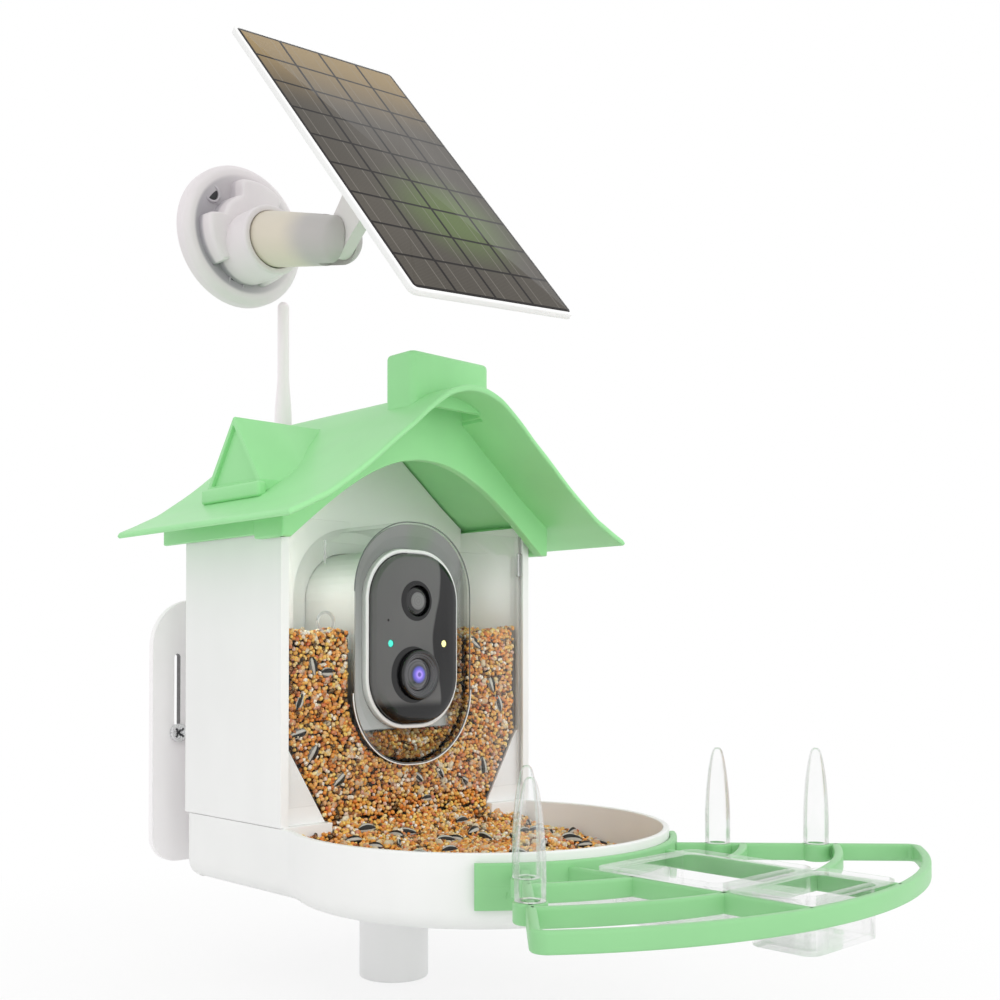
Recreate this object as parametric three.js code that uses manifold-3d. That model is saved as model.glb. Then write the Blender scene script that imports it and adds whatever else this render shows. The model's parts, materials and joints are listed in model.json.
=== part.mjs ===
// Smart bird feeder: a seed house with a built-in camera, a tray with a clip-on perch frame,
// a wall plate that it hangs on, and a solar panel on its own wall arm.
// Millimetres. X is to the right, Y to the back, Z up. Seen from the front, the house looks along -Y.
// The pieces are drawn from the front of the house (y = 0) and the top of the tray (z = 0), and
// the whole group is moved at the end, so that the origin is the middle of the wall plate's back.

import * as THREE from 'three';
import { mergeVertices } from 'three/addons/utils/BufferGeometryUtils.js';
import Module from 'manifold-3d';

const wasm = await Module();
wasm.setup();

// Fits
const gap = 0.3;
const slide = 0.5;
const overrun = 1;

// House
const house = {
  halfWidth: 86, depth: 88.5, wall: 2.6, wallTop: 157, gableDrop: 1.6,
  partitionY: 55, partitionFoot: 6,
  frontRim: 4.6, rimDepth: 6.2,
  chuteTop: 38, chuteWall: 2.4, chuteMouthHalf: 56, chuteDip: 6,
};
house.inner = house.halfWidth - house.wall;
house.backY = house.depth - house.wall;

// Roof, an ogee lid with a chimney and a dormer
const roof = {
  eaveOut: 29, front: -48, rear: 109.5, eaveZ: 148, ridgeZ: 219.5, shell: 3.2,
  fasciaFront: -9.5, fasciaWall: 5.5, legOut: 6, legGap: 0.6, legDrop: 19.3, archUnder: 34,
  blockRear: 15, railWall: 3.2, railUp: 2.5,
  notchHalf: 13, notchDepth: 17,
};
roof.halfWidth = house.halfWidth + roof.eaveOut;
roof.legOuter = house.halfWidth + roof.legOut;
roof.legInner = house.halfWidth + roof.legGap;
roof.rise = roof.ridgeZ - roof.eaveZ;
roof.underside = roof.shell + house.gableDrop;
const chimney = { halfWidth: 27.2, front: -28.4, rear: -6.2, top: 237, wall: 2.5, corner: 3 };
const dormer = {
  out: 1, centreY: 41.5, halfWidth: 24.5, footZ: 170.5, apexZ: 205, wall: 2.6, rearX: -22,
  panelSide: 8, panelFoot: 2.5, panelTop: 12, panelDepth: 1.2,
  plinthOut: 2.6, plinthTop: 167.5, plinthHalf: 27.5,
};
dormer.frontX = -house.halfWidth - dormer.out;

// Tray under and before the house
const tray = {
  centreY: -47, bulge: 9, wall: 3, depth: 34, floor: 3, bottomRound: 9, bottomInset: 8,
  rampTopY: 50, rampFootY: 6, rampTop: -3.5, rampWall: 2.5,
};
tray.radius = house.halfWidth + tray.bulge;
tray.frontY = tray.centreY - tray.radius;

// Clear front window and the clear oval tunnel round the camera
const camera = {
  z: 92, width: 64, height: 95, corner: 27, front: 2.2, ring: 2.3, ringDepth: 8,
  faceProud: 1.7, faceDepth: 4.2, dome: 2.4, domeEdge: 5, sealDepth: 1.5, ledge: 1.7, ledgeIn: 2.2,
  shellWall: 2.2,
};
const tunnel = { width: 81, height: 128, corner: 38, z: 90, wall: 2, front: 1.5 };
const pane = {
  thick: 2, foot: 9, top: 140, earTop: 151, earIn: 43, earSide: 3, earSlope: 7, earFoot: 8,
  flange: 1.5, flangeDepth: 7.5,
};

// Camera pieces, places from the camera's middle
const lens = { down: 19, radius: 13.2, bore: 8.6, proud: 5, glass: 8.2, glassSet: 1.6, glassThick: 2.4 };
const motion = { up: 20, radius: 8, proud: 2.4, collar: 1.4 };
const lamp = { side: 18.6, down: 2.6, radius: 1.7, proud: 0.3, reach: 5 };
const board = { y: 16.2, thick: 1.6 };
const sensor = { width: 15, depth: 3.6 };
const speaker = { radius: 13, depth: 5, magnet: 7.8 };
const cell = { radius: 9.2, length: 65, apart: 10.4, y: 40 };
const cradle = { halfWidth: 22, depth: 22, wall: 2, ends: 2.4 };
const cover = {
  width: 71, height: 102, corner: 30, thick: 3, lip: 2, screwRadius: 2.4, screwHead: 1.2, screwIn: 15,
  screwUp: 11.5,
};
const button = { x: 15, up: 25, radius: 4, proud: 1.6, flange: 1.2, flangeWall: 1.4 };
const flap = { down: 30, width: 20, height: 11, corner: 3, thick: 1.8 };
const antenna = {
  x: -15, y: 101.3, up: 24, baseWidth: 11, baseHeight: 14, stubRadius: 4.6,
  rootRadius: 5, tipRadius: 3.4, flareFoot: 225, flareTop: 243, top: 289.5, spigotRadius: 2.6, spigot: 7,
};

// Seed in the house and in the tray
const seed = { top: 97, mouth: -8, front: -14.5 };

// Pole socket under the tray
const socket = {
  y: 18, radius: 18.5, bore: 16, length: 54, flange: 31, flangeThick: 3,
  screwAt: 25, screwRadius: 2.6, screwHead: 1.8,
};

// Wall plate and its hanging rails
const plate = {
  backY: 115, thick: 4, wing: 7, top: 114, foot: -30, topCorner: 26, footCorner: 15,
  slotIn: 15, slotHalf: 1.9, slotTop: 84, slotFoot: 38, railX: 54, railWeb: 4, railHead: 12, railHeadThick: 3,
  railTop: 98, railFoot: 12,
};
plate.front = plate.backY - plate.thick;
plate.halfWidth = house.halfWidth + plate.wing;
plate.slotX = plate.halfWidth - plate.slotIn;
const keeper = { width: 20, top: 103, foot: 40, wallBehind: 4.6 };
const wallScrew = { radius: 5, head: 2.6, shank: 1.6, z: 40.5, crossLong: 3.1, crossWide: 0.8,
crossDeep: 1.4 };

// Clip-on perch frame before the tray
const perch = {
  top: -6.5, tall: 8, bar: 4, bandTop: -4, bandWall: 3.4, padTall: 20, padFrom: 33, padTo: 44.5,
  outerReach: 118, middleReach: 80.5, innerReach: 37, corner: 4, ribX: 32.8, crossBefore: 75.4,
  armRootX: 51, armRootBehind: 12.5, armTipX: 133.5, armTipBefore: 72,
  pegTurn: 36.9, pegDrop: 11, pegRadius: 2.2,
};
perch.outer = tray.radius + perch.outerReach;
perch.middle = tray.radius + perch.middleReach;
perch.inner = tray.radius + perch.innerReach;
perch.crossY = tray.frontY - perch.crossBefore;
perch.armRootY = tray.frontY + perch.armRootBehind;
perch.armTipY = tray.frontY - perch.armTipBefore;
perch.pegX = tray.radius * Math.sin(perch.pegTurn * Math.PI / 180);
const spike = {
  height: 46, radius: 5.9, collar: 6.6, bore: 3.9, peg: 3.6, atShares: [0.182, 0.578],
};
const cup = {
  wall: 1.5, rim: 1.5, foot: -27, corner: 6, flangeHalf: 34, innerHalf: 29, outerHalf: 25,
  innerFrom: 14, innerTo: 70.5, outerFrom: 80, outerTo: 109, flangeReach: 3.4,
};
cup.innerRear = tray.frontY - cup.innerFrom;
cup.innerFront = tray.frontY - cup.innerTo;
cup.outerRear = tray.frontY - cup.outerFrom;
cup.outerFront = tray.frontY - cup.outerTo;

// Solar panel, its arm and its wall base
const solar = { x: -37.5, z: 325, droop: 14.3, turn: 4.4, tilt: 51.2 };
const base = {
  radius: 40, thick: 9, chamfer: 3.2, dishFrom: 34, dishTo: 25, dish: 3, hubFace: 78, lobeFace: 89,
  lobe: 29, valley: 20.5, lobeCount: 3, lobeTurn: 78.7, collar: 19.4, boreDepth: 15,
  holeAt: 29, holeRadius: 2.3,
};
const arm = { root: 15.2, tip: 12.6, length: 72.5, tipReach: 10, slotHalf: 4, slotReach: 12.5 };
arm.knuckleAt = arm.length - arm.tipReach;
const knuckle = {
  radius: 9.5, half: 3.6, pin: 2.5, pinHalf: 10.5, reach: 43.7, neck: 13,
  footLength: 44, footWidth: 28, footThick: 3, footCorner: 6,
};
const panel = {
  width: 102, length: 204, thick: 3.4, corner: 4, border: 1.8, glass: 1.9, belowPivot: 15,
  boxWidth: 66, boxLength: 150, boxDepth: 8, boxCorner: 8, inletRadius: 4, inletLength: 6,
};

// Curves: how many straight pieces stand for a large, a middling and a small circle, and a quarter
const fineCount = 28;
const plainCount = 16;
const smallCount = 8;
const quarterCount = 5;

const DEG = Math.PI / 180;
const AXES = { x: 0, y: 1, z: 2 };

// Turns a three.js geometry into a solid that can be joined and cut.
function solid(geometry) {
  const bare = geometry.index ? geometry.toNonIndexed() : geometry.clone();
  bare.deleteAttribute('normal');
  bare.deleteAttribute('uv');
  const merged = mergeVertices(bare);
  return new wasm.Manifold(new wasm.Mesh({
    numProp: 3,
    vertProperties: new Float32Array(merged.attributes.position.array),
    triVerts: new Uint32Array(merged.index.array),
  }));
}

const join = (...solids) => solids.reduce((all, one) => all.add(one));
const cut = (body, ...tools) => tools.reduce((rest, one) => rest.subtract(one), body);

function box([x0, x1], [y0, y1], [z0, z1]) {
  const geometry = new THREE.BoxGeometry(x1 - x0, y1 - y0, z1 - z0);
  return solid(geometry.translate((x0 + x1) / 2, (y0 + y1) / 2, (z0 + z1) / 2));
}

// A round bar along one axis, from one place on it to another, at a place on the other two axes.
function rod(axis, radius, from, to, at, sides = plainCount, endRadius = radius) {
  const geometry = new THREE.CylinderGeometry(endRadius, radius, Math.abs(to - from), sides);
  if (to < from) geometry.rotateX(Math.PI);
  geometry.translate(0, (from + to) / 2, 0);
  if (axis === 'x') geometry.rotateZ(-Math.PI / 2);
  if (axis === 'z') geometry.rotateX(Math.PI / 2);
  const place = [...at];
  place.splice(AXES[axis], 0, 0);
  return solid(geometry.translate(...place));
}

const extrude = (shape, depth, curveSegments, bevel = {}) =>
  new THREE.ExtrudeGeometry(shape, { depth, curveSegments, bevelEnabled: false, steps: 1, ...bevel });

// An outline drawn in X and Y, raised along Z.
const raise = (shape, z0, z1, curve = quarterCount) => solid(extrude(shape, z1 - z0, curve).translate(0, 0,
  z0));

// An outline drawn in X and Z, run along Y.
const runBack = (shape, y0, y1, curve = quarterCount) =>
  solid(extrude(shape, y1 - y0, curve).rotateX(Math.PI / 2).translate(0, y1, 0));

// An outline drawn in Y and Z, run along X.
function runAcross(shape, x0, x1, curve = quarterCount) {
  const turn = new THREE.Matrix4().makeBasis(
    new THREE.Vector3(0, 1, 0), new THREE.Vector3(0, 0, 1), new THREE.Vector3(1, 0, 0));
  return solid(extrude(shape, x1 - x0, curve).applyMatrix4(turn).translate(x0, 0, 0));
}

const outline = (points) => new THREE.Shape(points.map(([a, b]) => new THREE.Vector2(a, b)));

function roundedRect(width, height, corner, cx = 0, cy = 0) {
  const [w, h, r] = [width / 2 - corner, height / 2 - corner, corner];
  const shape = new THREE.Shape();
  shape.moveTo(cx + w + r, cy - h);
  shape.lineTo(cx + w + r, cy + h);
  shape.absarc(cx + w, cy + h, r, 0, Math.PI / 2, false);
  shape.lineTo(cx - w, cy + h + r);
  shape.absarc(cx - w, cy + h, r, Math.PI / 2, Math.PI, false);
  shape.lineTo(cx - w - r, cy - h);
  shape.absarc(cx - w, cy - h, r, Math.PI, 3 * Math.PI / 2, false);
  shape.lineTo(cx + w, cy - h - r);
  shape.absarc(cx + w, cy - h, r, 3 * Math.PI / 2, 2 * Math.PI, false);
  return shape;
}

const mirrored = (body) => body.mirror([1, 0, 0]);
const both = (body) => join(body, mirrored(body));

const part = new THREE.Group();

function node(name, body, finish, parent = part) {
  const shape = body.getMesh();
  const geometry = new THREE.BufferGeometry();
  geometry.setAttribute('position', new THREE.BufferAttribute(shape.vertProperties, 3));
  geometry.setIndex(new THREE.BufferAttribute(shape.triVerts, 1));
  geometry.computeVertexNormals();
  const mesh = new THREE.Mesh(geometry, finish);
  mesh.name = name;
  parent.add(mesh);
}

const finishOf = (color, roughness, metalness = 0, extra = {}) =>
  new THREE.MeshStandardMaterial({ color, roughness, metalness, ...extra });
const white = finishOf(0xf1f1f0, 0.42);
const green = finishOf(0x9fe0a0, 0.5);
const clear = finishOf(0xe8f2f0, 0.08, 0, { transparent: true, opacity: 0.35 });
const black = finishOf(0x1b1c1e, 0.12);
const darkGrey = finishOf(0x3c3d40, 0.5);
const lensGlass = finishOf(0x1d1a4a, 0.03);
const fresnel = finishOf(0x2a2b2d, 0.3);
const cyan = finishOf(0x37d6cf, 0.3);
const warmLight = finishOf(0xfff3b0, 0.3);
const boardGreen = finishOf(0x1f5a36, 0.6);
const steel = finishOf(0xb5b7ba, 0.3, 1);
const cellWrap = finishOf(0x3a7fc4, 0.5);
const rubber = finishOf(0x2a2a2b, 0.8);
const grain = finishOf(0xb87d3a, 0.85);
const siliconCells = finishOf(0x4a443f, 0.2);

// Height of the roof's top face over x: a round ridge, straight slopes and flared eaves.
const slopeShares = [
  [0, 1], [0.06, 0.99], [0.13, 0.955], [0.18, 0.913], [0.28, 0.795], [0.36, 0.685], [0.45, 0.573], [0.61, 0.365],
  [0.74, 0.218], [0.8, 0.154], [0.865, 0.102], [0.925, 0.054], [1, 0],
];
const slope = new THREE.SplineCurve(slopeShares.map(
  ([out, up]) => new THREE.Vector2(out * roof.halfWidth, roof.eaveZ + up * roof.rise)));
const slopePoints = slope.getPoints(fineCount / 2);

function roofTop(x) {
  const out = Math.abs(x);
  const next = Math.max(1, slopePoints.findIndex((point) => point.x >= out));
  const [a, b] = [slopePoints[next - 1], slopePoints[next]];
  return a.y + (b.y - a.y) * (out - a.x) / (b.x - a.x);
}

// The legs end a set drop below the roof's top face over them.
roof.legFoot = roofTop(roof.legOuter) - roof.legDrop;

// The places across the roof where its outline has a point, out to a half width.
const nearEdgeShare = 0.99;
function acrossRoof(halfWidth) {
  const right = slopePoints.map((point) => point.x).filter((x) => x > 0 && x < halfWidth * nearEdgeShare);
  return [-halfWidth, ...right.map((x) => -x).reverse(), 0, ...right, halfWidth];
}

// A wall outline that follows the roof, a given drop below its top face.
function gable(halfWidth, foot, drop) {
  const top = acrossRoof(halfWidth).map((x) => [x, roofTop(x) - drop]);
  return outline([[halfWidth, foot], ...top.reverse(), [-halfWidth, foot]]);
}

function makeRoof() {
  const xs = acrossRoof(roof.halfWidth);
  const topLine = xs.map((x) => [x, roofTop(x)]);
  const underLine = xs.map((x) => [x, roofTop(x) - roof.shell]).reverse();
  const shell = runBack(outline([...topLine, ...underLine]), roof.front, roof.rear);

  const legs = roof.legOuter;
  const archXs = acrossRoof(roof.legInner);
  const archRise = roof.ridgeZ - roof.archUnder - roof.legFoot;
  const arch = archXs.map((x) => [x, roof.legFoot + archRise * Math.cos(Math.PI / 2 * x / roof.legInner)]);
  const fasciaTop = acrossRoof(legs).map((x) => [x, roofTop(x) - roof.shell / 2]).reverse();
  const fascia = runBack(
    outline([[-legs, roof.legFoot], ...arch, [legs, roof.legFoot], ...fasciaTop]),
    roof.fasciaFront, roof.fasciaFront + roof.fasciaWall);

  const block = box([house.halfWidth + slide, legs], [roof.fasciaFront, roof.blockRear],
    [roof.legFoot, roofTop(legs) - roof.shell / 2]);
  const railOuter = house.halfWidth + slide + roof.railWall;
  const rail = box([house.halfWidth + slide, railOuter], [roof.fasciaFront, roof.rear - roof.shell],
    [roof.legFoot + roof.railUp, roofTop(railOuter) - roof.shell / 2]);

  const stack = runAcrossChimney(0);
  const flue = runAcrossChimney(chimney.wall);

  const dormerBody = runAcross(dormerOutline(0), dormer.frontX, dormer.rearX);
  const roomFront = dormer.frontX + dormer.wall + dormer.panelDepth;
  const dormerRoom = runAcross(dormerOutline(dormer.wall), roomFront, dormer.rearX);
  const plinth = box([dormer.frontX - dormer.plinthOut, dormer.frontX + dormer.wall],
    [dormer.centreY - dormer.plinthHalf, dormer.centreY + dormer.plinthHalf],
    [roofTop(dormer.frontX - dormer.plinthOut) - roof.shell / 2, dormer.plinthTop]);
  const panelSink = runAcross(dormerPanel(), dormer.frontX - overrun, dormer.frontX + dormer.panelDepth);
  const notch = box([antenna.x - roof.notchHalf, antenna.x + roof.notchHalf],
    [roof.rear - roof.notchDepth, roof.rear + overrun], [roof.legFoot, roof.ridgeZ + overrun]);

  // The dormer's room and its body keep only what lies above the roof's lower face.
  const above = runBack(outline([...underLine.map(([x, z]) => [x, z + roof.shell / 2]),
    [-roof.halfWidth, chimney.top], [roof.halfWidth, chimney.top]]), roof.front, roof.rear);
  const body = join(shell, fascia, both(block), both(rail), stack.intersect(above),
    dormerBody.intersect(above), plinth);
  return cut(body, flue, dormerRoom, panelSink, notch);
}

// The chimney's block, or the flue inside it when it is drawn in by a wall.
function runAcrossChimney(inset) {
  const [front, rear] = [chimney.front + inset, chimney.rear - inset];
  const width = 2 * (chimney.halfWidth - inset);
  const corner = inset ? chimney.corner / 2 : chimney.corner;
  const shape = roundedRect(width, rear - front, corner, 0, (front + rear) / 2);
  return raise(shape, roof.eaveZ, chimney.top - inset, 3);
}

// The dormer's end view: a tent on low side walls, drawn in by a wall for the room inside it.
function dormerOutline(inset) {
  const half = dormer.halfWidth - inset;
  const drawn = inset * Math.hypot(dormer.halfWidth, dormer.apexZ - dormer.footZ) / dormer.halfWidth;
  const foot = roof.eaveZ - overrun;
  return outline([
    [dormer.centreY - half, foot], [dormer.centreY + half, foot],
    [dormer.centreY + half, dormer.footZ - inset],
    [dormer.centreY, dormer.apexZ - drawn], [dormer.centreY - half, dormer.footZ - inset],
  ]);
}

function dormerPanel() {
  const half = dormer.halfWidth - dormer.panelSide;
  const top = dormer.apexZ - dormer.panelTop;
  const foot = dormer.footZ + dormer.panelFoot;
  return outline([[dormer.centreY - half, foot], [dormer.centreY + half, foot], [dormer.centreY, top]]);
}

const oblong = (grow = 0) =>
  roundedRect(camera.width + 2 * grow, camera.height + 2 * grow, camera.corner + grow, 0, camera.z);
const oval = (grow = 0) =>
  roundedRect(tunnel.width + 2 * grow, tunnel.height + 2 * grow, tunnel.corner + grow, 0, tunnel.z);

function makeHouse() {
  const { halfWidth, inner, wall, wallTop } = house;
  const walls = cut(box([-halfWidth, halfWidth], [0, house.depth], [0, wallTop]),
    box([-inner, inner], [-overrun, house.backY], [-overrun, wallTop + overrun]));
  const back = runBack(gable(halfWidth, wallTop - wall, roof.underside), house.backY, house.depth);
  const partition = runBack(gable(inner + gap, house.partitionFoot, roof.underside),
    house.partitionY, house.partitionY + wall);
  const rim = cut(
    box([halfWidth - house.frontRim, halfWidth - overrun], [0, house.rimDepth], [0, wallTop]),
    box([halfWidth - house.frontRim - overrun, inner], [tunnel.front - gap, tunnel.front + pane.thick + gap],
      [pane.foot - gap, wallTop + overrun]));
  const mouth = house.chuteMouthHalf;
  const chuteWhole = runBack(outline([
    [mouth, -house.chuteDip], [mouth + house.chuteWall, -house.chuteDip],
    [inner + gap, house.chuteTop - 2 * house.chuteWall], [inner + gap, house.chuteTop + house.chuteWall],
  ]), house.rimDepth - overrun, house.partitionY + overrun);
  const rampRoom = box([0, inner], [tray.rampTopY - 2 * house.chuteDip, house.partitionY + 2 * overrun],
    [-house.chuteDip - overrun, gap]);
  const chute = cut(chuteWhole, rampRoom);

  // Keepers on the back, which hang over the heads of the wall plate's rails.
  const keeperRear = house.depth + keeper.wallBehind + plate.railHeadThick + 2 * slide + keeper.wallBehind;
  const block = box([plate.railX - keeper.width / 2, plate.railX + keeper.width / 2],
    [house.depth - overrun, keeperRear], [keeper.foot, keeper.top]);
  const headRoom = box([plate.railX - plate.railHead / 2 - slide, plate.railX + plate.railHead / 2 + slide],
    [railHeadFront - slide, railHeadFront + plate.railHeadThick + slide],
    [keeper.foot - overrun, plate.railTop + gap]);
  const webRoom = box([plate.railX - plate.railWeb / 2 - slide, plate.railX + plate.railWeb / 2 + slide],
    [railHeadFront, keeperRear + overrun], [keeper.foot - overrun, plate.railTop + gap]);
  const keepers = both(cut(block, headRoom, webRoom));

  const port = runBack(oblong(slide), house.partitionY - overrun, house.depth + overrun);
  const screwPosts = both(join(...[houseScrew.frontY, houseScrew.rearY].map((y) => join(
    rod('z', houseScrew.post, 0, houseScrew.postTop, [houseScrew.x, y], smallCount),
    box([houseScrew.x, inner + gap], [y - wall / 2, y + wall / 2], [0, houseScrew.postTop])))));
  const screwBores = both(join(...[houseScrew.frontY, houseScrew.rearY].map((y) =>
    rod('z', houseScrew.shank + gap, -overrun, houseScrew.length, [houseScrew.x, y], smallCount))));
  return cut(join(walls, back, partition, both(rim), both(chute), keepers, screwPosts), port, screwBores);
}

// Screws that hold the tray to the house, from below, in the room behind the seed.
const houseScrew = {
  x: 72, frontY: 66, rearY: 78, post: 4.6, postTop: 16, shank: 1.6, head: 3.2, headThick: 2, length: 13,
};
const houseScrewPlaces = [-1, 1].flatMap((side) =>
  [houseScrew.frontY, houseScrew.rearY].map((y) => [side * houseScrew.x, y]));
const railHeadFront = house.depth + keeper.wallBehind + slide;

function trayOutline(inset = 0) {
  const half = house.halfWidth - inset;
  const radius = tray.radius - inset;
  const angle = Math.acos(half / radius);
  const shape = new THREE.Shape();
  shape.moveTo(half, house.depth - inset);
  shape.lineTo(-half, house.depth - inset);
  shape.absarc(0, tray.centreY, radius, Math.PI - angle, 2 * Math.PI + angle, false);
  return shape;
}

function makeTray() {
  const bevel = {
    bevelEnabled: true, bevelSegments: 2, bevelThickness: tray.bottomRound, bevelSize: tray.bottomInset,
    bevelOffset: -tray.bottomInset,
  };
  const tall = tray.depth - tray.bottomRound;
  const blank = solid(extrude(trayOutline(), tall + tray.bottomRound, fineCount, bevel).translate(0, 0,
    -tall));
  const block = blank.intersect(box([-tray.radius, tray.radius],
    [tray.centreY - tray.radius - overrun, house.depth + overrun],
    [-tray.depth, -gap]));
  const room = raise(trayOutline(tray.wall), -tray.depth, overrun, fineCount);
  const floor = -tray.depth + tray.floor;
  const frontY = tray.centreY - tray.radius;
  const bowl = runAcross(outline([
    [frontY, overrun], [frontY, floor], [tray.rampFootY, floor], [tray.rampTopY, tray.rampTop],
    [tray.rampTopY, overrun],
  ]), -tray.radius, tray.radius);
  const wallY = tray.rampTopY + tray.rampWall;
  const behind = runAcross(outline([
    [tray.rampFootY + 3 * tray.rampWall, floor], [house.depth, floor], [house.depth, overrun],
    [wallY, overrun],
    [wallY, tray.rampTop - tray.rampWall],
  ]), -tray.radius, tray.radius);
  const inset = tray.bottomInset;
  const bottomRoom = raise(trayOutline(inset + tray.wall), floor, overrun, fineCount);
  const lowRoom = raise(trayOutline(tray.wall), -tray.depth + tray.bottomRound, overrun, fineCount);
  const hollow = join(bottomRoom, lowRoom).intersect(room);
  const pegHole = rod('y', perch.pegRadius + slide, frontY, frontY + tray.radius / 2,
    [perch.pegX, perch.top - perch.pegDrop], smallCount);
  const screws = [houseScrew.frontY, houseScrew.rearY].flatMap((y) => [
    rod('z', houseScrew.shank + gap, -tray.depth - overrun, overrun, [houseScrew.x, y], smallCount),
    rod('z', houseScrew.head + gap, -tray.depth - overrun, -houseScrew.headThick - tray.floor,
      [houseScrew.x, y], smallCount),
  ]);
  const pillars = [houseScrew.frontY, houseScrew.rearY].map((y) =>
    rod('z', houseScrew.post + tray.wall, -tray.depth, -gap, [houseScrew.x, y], smallCount).intersect(block));
  const hollowed = cut(block, hollow.intersect(bowl), hollow.intersect(behind));
  return cut(join(hollowed, both(join(...pillars))), both(join(pegHole, ...screws)), ...socketScrewBores());
}

const socketScrewAngles = [90, 210, 330];
const socketScrewPlaces = socketScrewAngles.map((angle) => [
  socket.screwAt * Math.cos(angle * DEG), socket.y + socket.screwAt * Math.sin(angle * DEG)]);
const socketScrewBores = () => socketScrewPlaces.map((place) =>
  rod('z', socket.screwRadius / 2 + gap, -tray.depth - overrun, -tray.depth + tray.floor + overrun, place,
    smallCount));

function makeSocket() {
  const top = -tray.depth - gap;
  const flange = rod('z', socket.flange, top - socket.flangeThick, top, [0, socket.y], fineCount);
  const tube = rod('z', socket.radius, top - socket.length, top, [0, socket.y], fineCount);
  const bore = rod('z', socket.bore, top - socket.length - overrun, top - socket.flangeThick, [0, socket.y],
    fineCount);
  const holes = socketScrewPlaces.map((place) =>
    rod('z', socket.screwRadius / 2 + gap, top - socket.flangeThick - overrun, top + overrun, place,
      smallCount));
  return cut(join(flange, tube), bore, ...holes);
}

function makeSocketScrew(place) {
  const under = -tray.depth - gap - socket.flangeThick - gap;
  return join(
    rod('z', socket.screwRadius, under - socket.screwHead, under, place, smallCount),
    rod('z', socket.screwRadius / 2, under - gap, -tray.depth + tray.floor / 2, place, smallCount));
}

function makeHouseScrew(place) {
  const headTop = -houseScrew.headThick - tray.floor - gap;
  return join(
    rod('z', houseScrew.head, headTop - houseScrew.headThick, headTop, place, smallCount),
    rod('z', houseScrew.shank, headTop - gap, houseScrew.length - gap, place, smallCount));
}

const paneBack = tunnel.front + pane.thick;
const flangeBack = tunnel.front + pane.flangeDepth;
const rimInner = house.halfWidth - house.frontRim;

function makeWindow() {
  const half = house.halfWidth - house.wall - gap;
  const ear = [
    [half, pane.foot], [half, pane.earTop], [pane.earIn, pane.earTop],
    [pane.earIn, pane.earTop - pane.earSide],
    [pane.earIn + pane.earSlope, pane.earTop - pane.earFoot], [pane.earIn + 2 * pane.earSlope, pane.top],
  ];
  const other = ear.map(([x, z]) => [-x, z]).reverse();
  const sheet = runBack(outline([...ear, ...other]), tunnel.front, paneBack);
  const side = rimInner - gap;
  const flange = box([side - pane.flange, side], [tunnel.front, flangeBack],
    [house.chuteTop + house.chuteWall + 2 * gap, pane.top]);
  return cut(join(sheet, both(flange)), runBack(oval(gap), tunnel.front - overrun, paneBack + overrun));
}

function makeTunnel() {
  const rear = house.partitionY - gap;
  const tube = cut(runBack(oval(), tunnel.front, rear),
    runBack(oval(-tunnel.wall), paneBack, rear + overrun));
  return cut(tube, runBack(oblong(slide), tunnel.front - overrun, rear));
}

function makeSeed() {
  const [inner, mouth] = [house.inner - gap, house.chuteMouthHalf - gap];
  const chuteEdge = house.chuteTop + house.chuteWall + gap;
  const profile = outline([
    [-mouth, gap], [mouth, gap], [inner, chuteEdge], [inner, seed.top], [-inner, seed.top],
    [-inner, chuteEdge],
  ]);
  const bulk = runBack(profile, flangeBack + gap, house.partitionY - gap);
  const side = rimInner - pane.flange - 2 * gap;
  const front = outline([
    [-mouth, gap], [mouth, gap], [side, chuteEdge], [side, seed.top], [-side, seed.top], [-side, chuteEdge],
  ]);
  const fill = join(bulk, runBack(front, paneBack + gap, flangeBack + 2 * gap));
  return cut(fill, runBack(oval(gap), 0, house.partitionY));
}

// The seed in the tray: full under the house's mouth, and falling away to the front.
function makeTraySeed() {
  const floor = -tray.depth + tray.floor + gap;
  const frontY = tray.centreY - tray.radius;
  const rearY = tray.rampTopY - gap;
  const surface = [[paneBack, 0], [-tray.bottomInset, seed.mouth], [frontY, seed.front]];
  const bulk = runAcross(outline([[frontY, floor], [rearY, floor], [rearY, 0], ...surface]),
    -house.chuteMouthHalf + gap, house.chuteMouthHalf - gap);
  const sides = runAcross(outline([[frontY, floor], [-tray.bottomInset, floor], ...surface.slice(1)]),
    -tray.radius, tray.radius);
  const roomAbove = raise(trayOutline(tray.wall + slide), -tray.depth + tray.bottomRound + gap, overrun,
    fineCount);
  const roomBelow = raise(trayOutline(tray.wall + tray.bottomInset + slide), floor, overrun, fineCount);
  const ramp = runAcross(outline([
    [tray.rampFootY - slide, floor - overrun], [tray.rampTopY, floor - overrun],
    [tray.rampTopY, tray.rampTop + slide],
    [tray.rampFootY - slide, floor + gap],
  ]), -tray.radius, tray.radius);
  return cut(join(bulk, sides).intersect(join(roomAbove, roomBelow)), ramp);
}

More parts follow.
